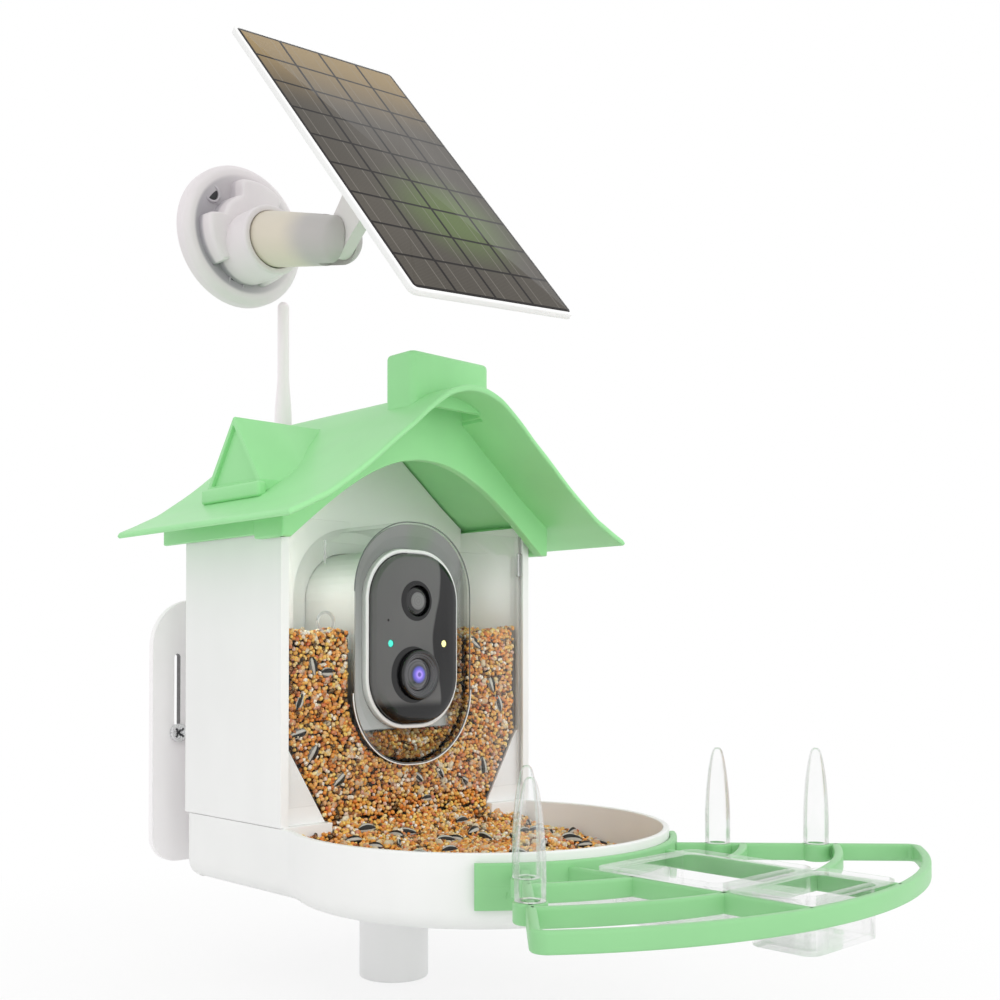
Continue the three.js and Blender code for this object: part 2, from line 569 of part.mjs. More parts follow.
function makeWallPlate() {
  const { halfWidth, top, foot, topCorner, footCorner } = plate;
  const shape = new THREE.Shape();
  shape.moveTo(halfWidth, foot + footCorner);
  shape.lineTo(halfWidth, top - topCorner);
  shape.absarc(halfWidth - topCorner, top - topCorner, topCorner, 0, Math.PI / 2, false);
  shape.absarc(-halfWidth + topCorner, top - topCorner, topCorner, Math.PI / 2, Math.PI, false);
  shape.absarc(-halfWidth + footCorner, foot + footCorner, footCorner, Math.PI, 3 * Math.PI / 2, false);
  shape.absarc(halfWidth - footCorner, foot + footCorner, footCorner, 3 * Math.PI / 2, 2 * Math.PI, false);
  const sheet = runBack(shape, plate.front, plate.backY, 6);
  const slot = runBack(roundedRect(2 * plate.slotHalf, plate.slotTop - plate.slotFoot, plate.slotHalf,
    plate.slotX, (plate.slotTop + plate.slotFoot) / 2), plate.front - overrun, plate.backY + overrun, 5);
  const web = box([plate.railX - plate.railWeb / 2, plate.railX + plate.railWeb / 2],
    [railHeadFront, plate.front + overrun], [plate.railFoot, plate.railTop]);
  const head = box([plate.railX - plate.railHead / 2, plate.railX + plate.railHead / 2],
    [railHeadFront, railHeadFront + plate.railHeadThick], [plate.railFoot, plate.railTop]);
  return cut(join(sheet, both(join(web, head))), both(slot));
}

function makeWallScrew(x) {
  const seat = plate.front - gap;
  const head = rod('y', wallScrew.radius, seat - wallScrew.head, seat, [x, wallScrew.z], plainCount);
  const shank = rod('y', wallScrew.shank, seat - gap, plate.backY - gap, [x, wallScrew.z], smallCount);
  const { crossLong, crossWide, crossDeep } = wallScrew;
  const face = seat - wallScrew.head;
  const cross = [[crossLong, crossWide], [crossWide, crossLong]].map(([a, b]) =>
    box([x - a, x + a], [face - overrun, face + crossDeep], [wallScrew.z - b, wallScrew.z + b]));
  return cut(join(head, shank), ...cross);
}

// Camera, from its front ring to its rear cover.
const faceFront = camera.front - camera.faceProud;
const faceBack = faceFront + camera.faceDepth;
const ringBack = camera.front + camera.ringDepth;
const shellRear = house.depth;
const lensZ = camera.z - lens.down;
const motionZ = camera.z + motion.up;
const lampZ = camera.z - lamp.down;
const sensorFront = board.y - gap - sensor.depth;

function makeBezel() {
  const ring = cut(runBack(oblong(), camera.front, ringBack),
    runBack(oblong(-camera.ring), camera.front - overrun, ringBack + overrun));
  const ledgeFront = faceBack + gap + camera.sealDepth + gap;
  const ledge = cut(runBack(oblong(-overrun), ledgeFront, ledgeFront + camera.ledge),
    runBack(oblong(-camera.ring - camera.ledgeIn), ledgeFront - overrun,
      ledgeFront + camera.ledge + overrun));
  return join(ring, ledge);
}

function makeFace() {
  const bevel = {
    bevelEnabled: true, bevelSegments: 2, bevelThickness: camera.dome, bevelSize: camera.domeEdge,
    bevelOffset: -camera.domeEdge,
  };
  const domed = solid(extrude(oblong(-camera.ring - gap), camera.faceDepth, quarterCount, bevel)
    .rotateX(Math.PI / 2).translate(0, faceBack, 0));
  const half = camera.height;
  const sheet = domed.intersect(box([-half, half], [faceFront - camera.dome, faceBack],
    [0, camera.z + half]));
  const [from, to] = [faceFront - camera.dome - overrun, faceBack + overrun];
  return cut(sheet, rod('y', lens.radius + gap, from, to, [0, lensZ], fineCount),
    rod('y', motion.radius + gap, from, to, [0, motionZ], fineCount),
    both(rod('y', lamp.radius + gap, from, to, [lamp.side, lampZ], smallCount)));
}

function makeSeal() {
  const front = faceBack + gap;
  return cut(runBack(oblong(-camera.ring - gap), front, front + camera.sealDepth),
    runBack(oblong(-camera.ring - camera.ledgeIn), front - overrun, front + camera.sealDepth + overrun));
}

function turned(profile, y, at, sides) {
  const geometry = new THREE.LatheGeometry(profile.map(([r, a]) => new THREE.Vector2(r, a)), sides);
  return solid(geometry.translate(at[0], y, at[1]));
}

function makeLensBarrel() {
  const [front, rear] = [-lens.proud, sensorFront - gap - faceFront];
  const lip = lens.radius - lens.bore;
  return turned([
    [lens.bore, rear], [lens.bore, front + lip / 2], [lens.radius - lip / 4, front],
    [lens.radius, front + lip / 4],
    [lens.radius, rear], [lens.bore, rear],
  ], faceFront, [0, lensZ], fineCount);
}

// How far out and how far up the domes of the lens and of the motion sensor go, as shares.
const glassShares = [[0, 1], [0.35, 0.95], [0.7, 0.76], [1, 0.39]];
const motionShares = [[0, 1], [0.3, 0.95], [0.6, 0.8], [0.85, 0.53], [1, 0]];

function makeLensGlass() {
  const edge = lens.glassSet - lens.proud + lens.glassThick;
  const arc = glassShares.map(([out, up]) => [lens.glass * out, edge - lens.glassThick * up]);
  const back = edge + lens.glassThick;
  return turned([...arc, [lens.glass, back], [0, back]], faceFront, [0, lensZ], fineCount);
}

function makeMotionLens() {
  const arc = motionShares.map(([out, up]) => [motion.radius * out, -motion.proud * up]);
  const back = camera.faceDepth + motion.collar;
  return turned([...arc, [motion.radius, back], [0, back]], faceFront, [0, motionZ], fineCount);
}

const makeLamp = (x) => rod('y', lamp.radius, faceFront - lamp.proud, faceFront + lamp.reach, [x, lampZ],
  smallCount);

function makeCameraShell() {
  return cut(runBack(oblong(), ringBack + gap, shellRear),
    runBack(oblong(-camera.shellWall), ringBack, shellRear + overrun));
}

const makeBoard = () => runBack(oblong(-camera.shellWall - gap), board.y, board.y + board.thick);

function makeImageSensor() {
  const half = sensor.width / 2;
  const block = box([-half, half], [sensorFront, board.y - gap], [lensZ - half, lensZ + half]);
  const well = box([-half / 2, half / 2], [sensorFront - overrun, sensorFront + sensor.depth / 3],
    [lensZ - half / 2, lensZ + half / 2]);
  return cut(block, well);
}

function makeSpeaker() {
  const front = board.y + board.thick + gap;
  const { radius, depth, magnet } = speaker;
  return turned([[0, 0], [radius, 0], [radius, depth / 2], [magnet, depth], [0, depth]],
    front, [0, motionZ - radius / 2], plainCount);
}

const cellFoot = camera.z - cell.length / 2;

function makeCradle() {
  const halfLength = cell.length / 2 + gap + cradle.ends;
  const front = cell.y - cradle.depth / 2;
  const body = box([-cradle.halfWidth, cradle.halfWidth], [front, front + cradle.depth],
    [camera.z - halfLength, camera.z + halfLength]);
  const beds = both(rod('z', cell.radius + gap, cellFoot - gap, cellFoot + cell.length + gap,
    [cell.apart, cell.y], plainCount));
  const open = box([-cell.apart - cell.radius - gap, cell.apart + cell.radius + gap],
    [cell.y, front + cradle.depth + overrun],
    [cellFoot - gap, cellFoot + cell.length + gap]);
  const feet = both(box([cradle.halfWidth - overrun, camera.width / 2 - camera.shellWall - gap],
    [cell.y - cradle.wall, cell.y + cradle.wall], [camera.z - cradle.depth / 2,
    camera.z + cradle.depth / 2]));
  return cut(join(body, feet), beds, open);
}

const makeCell = (x) => join(
  rod('z', cell.radius, cellFoot, cellFoot + cell.length - cradle.ends, [x, cell.y], plainCount),
  rod('z', cell.radius / 3, cellFoot + cell.length - cradle.ends - gap, cellFoot + cell.length, [x, cell.y],
    smallCount));

const coverFront = shellRear + gap;
const coverBack = coverFront + cover.thick;
const coverScrewPlaces = [[1, 1], [-1, 1], [1, -1], [-1, -1]].map(([a, b]) => [
  a * (cover.width / 2 - cover.screwIn), camera.z + b * (cover.height / 2 - cover.screwUp)]);

function makeRearCover() {
  const sheet = runBack(roundedRect(cover.width, cover.height, cover.corner, 0, camera.z), coverFront,
    coverBack);
  const lip = cut(runBack(oblong(-camera.shellWall - gap), coverFront - cover.lip, coverFront + gap),
    runBack(oblong(-camera.shellWall - gap - cover.lip), coverFront - cover.lip - overrun, coverFront));
  const buttonHole = rod('y', button.radius + gap, coverFront - overrun, coverBack + overrun,
    [button.x, camera.z + button.up], plainCount);
  const port = runBack(roundedRect(flap.width + 2 * gap, flap.height + 2 * gap, flap.corner, 0,
    camera.z - flap.down),
    coverBack - flap.thick, coverBack + overrun, 4);
  const screwSeats = coverScrewPlaces.map((at) => rod('y', cover.screwRadius + gap,
    coverBack - cover.screwHead - gap, coverBack + overrun, at, smallCount));
  const screwBores = coverScrewPlaces.map((at) => rod('y', cover.screwRadius / 2 + gap,
    coverFront - overrun, coverBack, at, smallCount));
  return cut(join(sheet, lip), buttonHole, port, ...screwSeats, ...screwBores);
}

function makeCoverScrew(at) {
  return join(rod('y', cover.screwRadius, coverBack - cover.screwHead, coverBack, at, smallCount),
    rod('y', cover.screwRadius / 2, coverFront, coverBack - cover.screwHead + gap, at, smallCount));
}

function makeButton() {
  const at = [button.x, camera.z + button.up];
  return join(rod('y', button.radius, coverFront - button.flange, coverBack + button.proud, at, plainCount),
    rod('y', button.radius + button.flangeWall, coverFront - gap - button.flange, coverFront - gap, at,
      plainCount));
}

const makeFlap = () => runBack(roundedRect(flap.width, flap.height, flap.corner, 0, camera.z - flap.down),
  coverBack - flap.thick + gap, coverBack + gap, 4);

const antennaBaseTop = camera.z + antenna.up + antenna.baseHeight / 2;

function makeAntennaBase() {
  const half = antenna.baseWidth / 2;
  const block = raise(roundedRect(antenna.baseWidth, antenna.baseWidth, half / 3, antenna.x, antenna.y),
    antennaBaseTop - antenna.baseHeight, antennaBaseTop, 3);
  const stub = rod('y', antenna.stubRadius, coverBack + gap, antenna.y, [antenna.x, camera.z + antenna.up],
    plainCount);
  const bore = rod('z', antenna.spigotRadius + gap, antennaBaseTop - antenna.spigot - gap,
    antennaBaseTop + overrun,
    [antenna.x, antenna.y], smallCount);
  return cut(join(block, stub), bore);
}

const tipDomeShares = [0, 0.33, 0.67, 1];

function makeAntenna() {
  const foot = antennaBaseTop + gap;
  const round = antenna.tipRadius;
  const dome = tipDomeShares.map((share) => [
    round * Math.sin(share * Math.PI / 2), antenna.top - round + round * Math.cos(share * Math.PI / 2)]);
  const profile = [
    [0, foot - antenna.spigot], [antenna.spigotRadius, foot - antenna.spigot], [antenna.spigotRadius, foot],
    [antenna.rootRadius, foot], [antenna.rootRadius, antenna.flareFoot],
    [antenna.tipRadius, antenna.flareTop],
    ...dome.reverse(),
  ];
  const geometry = new THREE.LatheGeometry(profile.map(([r, a]) => new THREE.Vector2(r, a)), plainCount);
  return solid(geometry.rotateX(Math.PI / 2).translate(antenna.x, antenna.y, 0));
}

// Perch frame: bars between the tray's band and an outer arc, all about the tray's centre.
function arcBar(outer, width, fromDeg, toDeg, z0, z1, curve = smallCount) {
  const [a, b] = [-90 + fromDeg, -90 + toDeg].map((angle) => angle * DEG);
  const shape = new THREE.Shape();
  shape.absarc(0, tray.centreY, outer, a, b, false);
  shape.absarc(0, tray.centreY, outer - width, b, a, true);
  return raise(shape, z0, z1, curve);
}

const armTip = new THREE.Vector2(perch.armTipX, perch.armTipY);
const armRoot = new THREE.Vector2(perch.armRootX, perch.armRootY);
const armWay = armTip.clone().sub(armRoot);
const perchFoot = perch.top - perch.tall;

// How far round from straight ahead the arm's middle line meets a circle about the tray's centre.
function armAngle(radius) {
  const from = armRoot.clone().sub(new THREE.Vector2(0, tray.centreY));
  const way = armWay.clone().normalize();
  const along = -from.dot(way) + Math.sqrt(from.dot(way) ** 2 - from.lengthSq() + radius ** 2);
  const meet = from.addScaledVector(way, along);
  return Math.atan2(meet.x, -meet.y) / DEG;
}

const ribAngle = (radius) => Math.asin(perch.ribX / radius) / DEG;

// The middle line of the arms and the outer arc, with a round corner where they meet.
function rimLine() {
  const round = perch.corner;
  const arcRadius = perch.outer - perch.bar / 2;
  const way = armWay.clone().normalize();
  const inward = new THREE.Vector2(way.y, -way.x);
  const middle = new THREE.Vector2(0, tray.centreY);
  const from = armRoot.clone().addScaledVector(inward, round).sub(middle);
  const along = -from.dot(way) + Math.sqrt(from.dot(way) ** 2 - from.lengthSq() + (arcRadius - round) ** 2);
  const centre = from.clone().addScaledVector(way, along).add(middle);
  const start = Math.atan2(-inward.y, -inward.x);
  const end = Math.atan2(centre.y - middle.y, centre.x - middle.x);
  const corner = Array.from({ length: quarterCount + 1 }, (_, i) => {
    const angle = start + (end - start) * i / quarterCount;
    return new THREE.Vector2(centre.x + round * Math.cos(angle), centre.y + round * Math.sin(angle));
  });
  const arc = Array.from({ length: plainCount - 1 }, (_, i) => {
    const angle = end - (2 * end + Math.PI) * (i + 1) / (2 * plainCount);
    return new THREE.Vector2(arcRadius * Math.cos(angle), middle.y + arcRadius * Math.sin(angle));
  });
  const right = [armRoot.clone().addScaledVector(way, perch.bar / 2), ...corner, ...arc];
  const left = right.map((point) => new THREE.Vector2(-point.x, point.y)).reverse();
  return [...right, new THREE.Vector2(0, middle.y - arcRadius), ...left];
}

// A bar of a width that follows a line of points.
function ribbon(points, width, z0, z1) {
  const sides = points.map((point, i) => {
    const before = points[Math.max(0, i - 1)];
    const after = points[Math.min(points.length - 1, i + 1)];
    const way = after.clone().sub(before).normalize();
    const side = new THREE.Vector2(-way.y, way.x).multiplyScalar(width / 2);
    return [point.clone().add(side), point.clone().sub(side)];
  });
  const corners = [...sides.map(([a]) => a), ...sides.map(([, b]) => b).reverse()];
  return raise(new THREE.Shape(THREE.ShapeUtils.isClockWise(corners) ? corners.reverse() : corners), z0, z1);
}

const spikePlaces = spike.atShares.map((share) => armRoot.clone().addScaledVector(armWay, share));

function makePerch() {
  const { top, bar } = perch;
  const bandOuter = tray.radius + gap + perch.bandWall;
  const band = arcBar(bandOuter, perch.bandWall, -perch.padTo, perch.padTo, perchFoot, perch.bandTop);
  const pad = arcBar(bandOuter, perch.bandWall, perch.padFrom, perch.padTo, perch.bandTop - perch.padTall,
    perch.bandTop, 4);
  const rim = ribbon(rimLine(), bar, perchFoot, top);
  const rails = [perch.middle, perch.inner].map((radius) =>
    arcBar(radius, bar, ribAngle(radius), armAngle(radius - bar / 2), perchFoot, top, 6));
  const ribFront = tray.centreY - Math.sqrt((perch.outer - bar / 2) ** 2 - perch.ribX ** 2);
  const ribRear = tray.centreY - Math.sqrt((bandOuter - perch.bandWall / 2) ** 2 - perch.ribX ** 2);
  const rib = box([perch.ribX - bar / 2, perch.ribX + bar / 2], [ribFront, ribRear], [perchFoot, top]);
  const cross = box([-perch.ribX, perch.ribX], [perch.crossY - bar / 2, perch.crossY + bar / 2],
    [perchFoot, top]);
  const bosses = spikePlaces.map((place) => rod('z', spike.collar, perchFoot, top, [place.x, place.y],
    smallCount));
  const bores = spikePlaces.map((place) => rod('z', spike.bore, perchFoot - overrun, top + overrun,
    [place.x, place.y], smallCount));
  const wallY = tray.centreY - Math.sqrt(tray.radius ** 2 - perch.pegX ** 2);
  const peg = rod('y', perch.pegRadius, wallY - perch.bandWall, wallY + tray.wall / 2,
    [perch.pegX, top - perch.pegDrop], smallCount);
  return cut(join(band, rim, cross, both(join(pad, rib, ...rails, ...bosses, peg))), both(join(...bores)));
}

// A spike's radius at its heights, as shares of its base radius and of its height.
const spikeShares = [[1, 0], [1.01, 0.14], [1, 0.3], [0.93, 0.5], [0.78, 0.7], [0.58, 0.86], [0.4, 0.95],
  [0, 1]];

function makeSpike(x, y) {
  const foot = perch.top + gap;
  const body = spikeShares.map(([out, up]) => [spike.radius * out, foot + spike.height * up]);
  const profile = [[0, perchFoot + gap], [spike.peg, perchFoot + gap], [spike.peg, foot], ...body];
  const geometry = new THREE.LatheGeometry(profile.map(([r, a]) => new THREE.Vector2(r, a)), smallCount);
  return solid(geometry.rotateX(Math.PI / 2).translate(x, y, 0));
}

// A clear square cup whose flange rests on the frame.
function makeCup(half, front, rear, flangeFront, flangeRear) {
  const seat = perch.top + gap;
  const midY = (front + rear) / 2;
  const flange = raise(roundedRect(2 * cup.flangeHalf, flangeRear - flangeFront, cup.corner, 0,
    (flangeFront + flangeRear) / 2), seat, seat + cup.rim, 4);
  const body = raise(roundedRect(2 * half, rear - front, cup.corner, 0, midY), cup.foot, seat + cup.rim, 4);
  const room = raise(roundedRect(2 * (half - cup.wall), rear - front - 2 * cup.wall, cup.corner - cup.wall,
    0, midY),
    cup.foot + cup.wall, seat + cup.rim + overrun, 4);
  return cut(join(flange, body), room);
}

// Solar panel base on the wall: a dished disc and a three-lobed hub that holds the arm.
const lobeEdgeShares = [-0.45, 0.25];

function lobedHub() {
  const count = 2 * fineCount - plainCount;
  const lobeAt = (angle) => Math.cos(base.lobeCount * (angle - base.lobeTurn * DEG));
  const points = Array.from({ length: count }, (_, i) => {
    const angle = 2 * Math.PI * i / count;
    const share = THREE.MathUtils.smoothstep(lobeAt(angle), ...lobeEdgeShares);
    const radius = base.valley + (base.lobe - base.valley) * share;
    return [solar.x + radius * Math.cos(angle), solar.z + radius * Math.sin(angle)];
  });
  return runBack(outline(points), base.lobeFace, plate.backY - overrun);
}

const armRootPlace = new THREE.Vector3(solar.x, base.hubFace,
  solar.z - (plate.backY - base.hubFace) * Math.tan(solar.droop * DEG));

function makeSolarBase() {
  const { radius, thick, chamfer, dishFrom, dishTo, dish } = base;
  const disc = turned([
    [0, 0], [radius, 0], [radius, -thick + chamfer], [radius - chamfer, -thick], [dishFrom, -thick],
    [dishTo, -thick + dish], [0, -thick + dish],
  ].reverse(), plate.backY, [solar.x, solar.z], fineCount);
  const collar = rod('y', base.collar, base.hubFace, plate.backY - overrun,
    [armRootPlace.x, armRootPlace.z], fineCount);
  const bore = new THREE.CylinderGeometry(arm.root + slide, arm.root + slide, 2 * base.boreDepth, fineCount);
  bore.rotateX(solar.droop * DEG).translate(armRootPlace.x, armRootPlace.y, armRootPlace.z);
  const turnEach = 2 * Math.PI / base.lobeCount;
  const holes = Array.from({ length: base.lobeCount }, (_, i) => {
    const angle = base.lobeTurn * DEG + turnEach * (i + 1 / 2);
    const at = [solar.x + base.holeAt * Math.cos(angle), solar.z + base.holeAt * Math.sin(angle)];
    return rod('y', base.holeRadius, plate.backY - 2 * thick, plate.backY + overrun, at, smallCount);
  });
  return cut(join(disc, lobedHub(), collar), solid(bore), ...holes);
}

// The arm is drawn along -Y from its root, in a frame that droops and is turned a little on its axis.
const armFrame = new THREE.Group();
armFrame.position.copy(armRootPlace);
armFrame.rotation.set(solar.droop * DEG, -solar.turn * DEG, 0);
const panelFrame = new THREE.Group();
panelFrame.position.set(0, -arm.knuckleAt, 0);
panelFrame.rotation.set((solar.tilt - solar.droop) * DEG, 0, 0);
armFrame.add(panelFrame);
part.add(armFrame);

// The arm's round end: how far out and how far along each ring of it is, as shares.
const armDomeShares = [[1, 0], [0.89, 0.5], [0.64, 0.82], [0.28, 0.98], [0, 1]];

function makeArm() {
  const inBore = base.boreDepth - slide;
  const dome = armDomeShares.map(([out, along]) => [arm.tip * out, arm.knuckleAt + arm.tipReach * along]);
  const profile = [[0, -inBore], [arm.root, -inBore], [arm.root, 0], ...dome];
  const geometry = new THREE.LatheGeometry(profile.map(([r, a]) => new THREE.Vector2(r, a)), fineCount);
  const body = solid(geometry.rotateX(Math.PI));
  const slotFrom = arm.knuckleAt - arm.slotReach;
  const slot = box([-arm.slotHalf, arm.slotHalf], [-arm.length - overrun, -slotFrom], [-arm.root, arm.root]);
  const pinBore = rod('x', knuckle.pin + gap, -arm.root, arm.root, [-arm.knuckleAt, 0], smallCount);
  return cut(body, slot, pinBore);
}

const panelBackZ = knuckle.reach + panel.boxDepth;
const panelFrontZ = panelBackZ + panel.thick;

function makeBracket() {
  const shape = new THREE.Shape();
  const foot = knuckle.reach - gap;
  const padFoot = foot - knuckle.footThick;
  shape.absarc(0, 0, knuckle.radius, Math.PI, 2 * Math.PI, false);
  shape.quadraticCurveTo(knuckle.radius, foot / 2, knuckle.neck, 2 * foot / 3);
  shape.lineTo(knuckle.footLength / 2, padFoot);
  shape.lineTo(-knuckle.footLength / 2, padFoot);
  shape.lineTo(-knuckle.neck, 2 * foot / 3);
  shape.quadraticCurveTo(-knuckle.radius, foot / 2, -knuckle.radius, 0);
  const tongue = runAcross(shape, -knuckle.half, knuckle.half, 8);
  const pad = raise(roundedRect(knuckle.footWidth, knuckle.footLength, knuckle.footCorner), padFoot - gap,
    foot, 4);
  return cut(join(tongue, pad), rod('x', knuckle.pin + gap, -knuckle.half - overrun, knuckle.half + overrun,
    [0, 0], smallCount));
}

function makePanelBody() {
  const sheet = raise(roundedRect(panel.width, panel.length, panel.corner, 0, -panel.belowPivot),
    panelBackZ, panelFrontZ, 4);
  const pocket = raise(roundedRect(panel.width - 2 * panel.border, panel.length - 2 * panel.border,
    panel.corner / 2, 0, -panel.belowPivot),
    panelFrontZ - panel.glass - gap, panelFrontZ + overrun, 4);
  return cut(sheet, pocket);
}

function makePanelGlass() {
  const inset = 2 * (panel.border + gap);
  return raise(roundedRect(panel.width - inset, panel.length - inset, panel.corner / 2, 0, -panel.belowPivot),
    panelFrontZ - panel.glass, panelFrontZ, 4);
}

function makePanelBox() {
  const body = raise(roundedRect(panel.boxWidth, panel.boxLength, panel.boxCorner, 0, -panel.belowPivot),
    knuckle.reach, panelBackZ - gap, 4);
  const footY = -panel.belowPivot - panel.boxLength / 2;
  const midZ = knuckle.reach + panel.boxDepth / 2;
  const inlet = rod('y', panel.inletRadius - gap, footY - panel.inletLength, footY + overrun, [0, midZ],
    smallCount);
  const bore = rod('y', panel.inletRadius / 2, footY - panel.inletLength - overrun, footY, [0, midZ],
    smallCount);
  return cut(join(body, inlet), bore);
}

// One node for each place where a like piece goes.
const nodes = (name, places, make, finish) =>
  places.forEach((place, i) => node(`${name}_${i + 1}`, make(place), finish));

node('wall_plate', makeWallPlate(), white);
nodes('wall_screw', [-plate.slotX, plate.slotX], makeWallScrew, steel);
node('house', makeHouse(), white);
node('tray', makeTray(), white);
nodes('house_screw', houseScrewPlaces, makeHouseScrew, steel);
node('pole_socket', makeSocket(), white);
nodes('pole_socket_screw', socketScrewPlaces, makeSocketScrew, steel);
node('front_window', makeWindow(), clear);
node('camera_tunnel', makeTunnel(), clear);
node('hopper_seed', makeSeed(), grain);
node('tray_seed', makeTraySeed(), grain);

node('camera_bezel', makeBezel(), white);
node('camera_face', makeFace(), black);
node('face_seal', makeSeal(), rubber);
node('lens_barrel', makeLensBarrel(), darkGrey);
node('lens_glass', makeLensGlass(), lensGlass);
node('motion_sensor', makeMotionLens(), fresnel);
node('status_light', makeLamp(-lamp.side), cyan);
node('night_light', makeLamp(lamp.side), warmLight);
node('camera_shell', makeCameraShell(), darkGrey);
node('circuit_board', makeBoard(), boardGreen);
node('image_sensor', makeImageSensor(), black);
node('speaker', makeSpeaker(), darkGrey);
node('battery_cradle', makeCradle(), darkGrey);
node('battery_left', makeCell(-cell.apart), cellWrap);
node('battery_right', makeCell(cell.apart), cellWrap);
node('rear_cover', makeRearCover(), white);
nodes('rear_cover_screw', coverScrewPlaces, makeCoverScrew, steel);
node('power_button', makeButton(), darkGrey);
node('port_flap', makeFlap(), rubber);
node('antenna_base', makeAntennaBase(), white);
node('antenna', makeAntenna(), white);

node('roof', makeRoof(), green);

node('perch_frame', makePerch(), green);
const spikeNames = ['left_inner', 'left_outer', 'right_inner', 'right_outer'];
[-1, 1].flatMap((side) => spikePlaces.map((place) => [side * place.x, place.y]))
  .forEach(([x, y], i) => node(`fruit_spike_${spikeNames[i]}`, makeSpike(x, y), clear));
const flangeSplit = perch.crossY;
node('cup_inner', makeCup(cup.innerHalf, cup.innerFront, cup.innerRear, flangeSplit + gap,
  cup.innerRear + cup.flangeReach), clear);
node('cup_outer', makeCup(cup.outerHalf, cup.outerFront, cup.outerRear, cup.outerFront - cup.flangeReach,
  flangeSplit - gap), clear);

node('solar_base', makeSolarBase(), white);
node('solar_arm', makeArm(), white, armFrame);
node('knuckle_pin', rod('x', knuckle.pin, -knuckle.pinHalf, knuckle.pinHalf, [-arm.knuckleAt, 0],
  smallCount), steel, armFrame);
node('panel_bracket', makeBracket(), white, panelFrame);
node('panel_back_box', makePanelBox(), white, panelFrame);
node('panel_frame', makePanelBody(), white, panelFrame);
node('panel_cells', makePanelGlass(), siliconCells, panelFrame);

part.position.set(0, -plate.backY, -(plate.top + plate.foot) / 2);

export default part;
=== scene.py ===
import json
import math

import bmesh
import bpy
import numpy as np
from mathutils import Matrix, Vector

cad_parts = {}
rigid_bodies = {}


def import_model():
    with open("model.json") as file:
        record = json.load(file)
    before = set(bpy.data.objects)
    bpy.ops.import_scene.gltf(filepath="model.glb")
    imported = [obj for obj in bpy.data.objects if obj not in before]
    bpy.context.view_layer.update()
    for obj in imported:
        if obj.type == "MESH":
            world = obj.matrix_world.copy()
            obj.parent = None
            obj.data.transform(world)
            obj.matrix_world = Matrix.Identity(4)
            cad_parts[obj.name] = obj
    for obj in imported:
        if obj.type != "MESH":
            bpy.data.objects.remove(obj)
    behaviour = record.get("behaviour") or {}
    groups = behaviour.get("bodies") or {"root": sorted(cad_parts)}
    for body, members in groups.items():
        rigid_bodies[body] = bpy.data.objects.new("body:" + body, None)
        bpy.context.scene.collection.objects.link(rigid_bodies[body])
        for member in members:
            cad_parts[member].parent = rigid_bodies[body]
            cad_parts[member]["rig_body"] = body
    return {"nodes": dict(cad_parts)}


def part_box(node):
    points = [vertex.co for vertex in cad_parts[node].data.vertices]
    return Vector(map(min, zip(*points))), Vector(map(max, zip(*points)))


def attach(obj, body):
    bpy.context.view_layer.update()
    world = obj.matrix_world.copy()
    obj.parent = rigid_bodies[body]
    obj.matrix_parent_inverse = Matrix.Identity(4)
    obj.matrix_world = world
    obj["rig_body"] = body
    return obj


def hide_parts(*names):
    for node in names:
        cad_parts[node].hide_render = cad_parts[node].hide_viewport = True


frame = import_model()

# Looks of a smart bird feeder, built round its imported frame. Shapes are worked out in millimetres
# from the front of the house (y = 0), the top of the tray (z = 0) and the middle plane (x = 0),
# and metres() puts them into the frame's own coordinates.

bl_info = {
    "name": "Smart bird feeder",
    "version": (1, 0, 0),
    "blender": (4, 5, 0),
    "location": "3D View > Sidebar > Bird feeder",
    "description": "Builds the moulded, clear, seed and solar pieces of a camera bird feeder on its frame",
    "category": "Add Mesh",
}

HOUSE_FRONT = np.array([0.0, 115.0, 42.0])
TAU = 2 * math.pi
SEED = 20260

# Places and sizes that several shapes and finishes share, in millimetres. SLOPE gives the roof's
# height over x, both as shares of its half width and its rise.

SLOPE = np.array([
    [0, 1], [0.06, 0.99], [0.13, 0.955], [0.18, 0.913], [0.28, 0.795], [0.36, 0.685], [0.45, 0.573],
    [0.61, 0.365], [0.74, 0.218], [0.8, 0.154], [0.865, 0.102], [0.925, 0.054], [1, 0]])
ROOF = {"half": 115.0, "front": -48.0, "rear": 109.5, "eave": 148.0, "rise": 71.5, "shell": 3.2}
FLUE = {"half": 24.7, "front": -25.9, "rear": -8.7}
NOTCH = {"left": -28.0, "right": -2.0, "front": 92.5}
LEGS = {"outer": 92.0, "inner": 86.6, "drop": 18.9}
TRAY_MIDDLE = np.array([0.0, -47.0])
TRAY = {"radius": 95.0, "half": 86.0, "rear": 88.5}
TUNNEL = {"width": 81.0, "height": 128.0, "corner": 38.0, "middle": 90.0}
CAMERA = {"width": 64.0, "height": 95.0, "corner": 27.0, "middle": 92.0}
LENS_UP, SENSOR_UP, LIGHTS_UP, LIGHTS_OUT = 73.0, 112.0, 89.4, 18.6
CHUTE_UP = (0.3, 40.7)
ARM_ROOT, ARM_TIP = np.array([51.0, -129.5]), np.array([133.5, -214.0])
ARM_WAY = (ARM_TIP - ARM_ROOT) / np.linalg.norm(ARM_TIP - ARM_ROOT)
SPIKES = [ARM_ROOT + (ARM_TIP - ARM_ROOT) * share for share in (0.182, 0.578)]
PERCH = {"rim": 211.0, "ribs": (175.5, 132.0), "inner": 97.0, "gap": 32.8, "peg": 57.0, "corner": 4.0}
BAR_FOOT, BAR_TOP, BAR = -14.5, -6.5, 4.0
SOLAR = np.array([-37.5, 115.0, 325.0])
SOLAR_ARM = {"start": np.array([-37.5, 78.0, 315.569]), "length": 62.5, "root": 15.2, "tip": 12.6,
             "down": 14.3, "side": -4.4, "panel": 36.9}
PANEL = {"width": 102.0, "height": 204.0, "middle": (0.0, -15.0)}
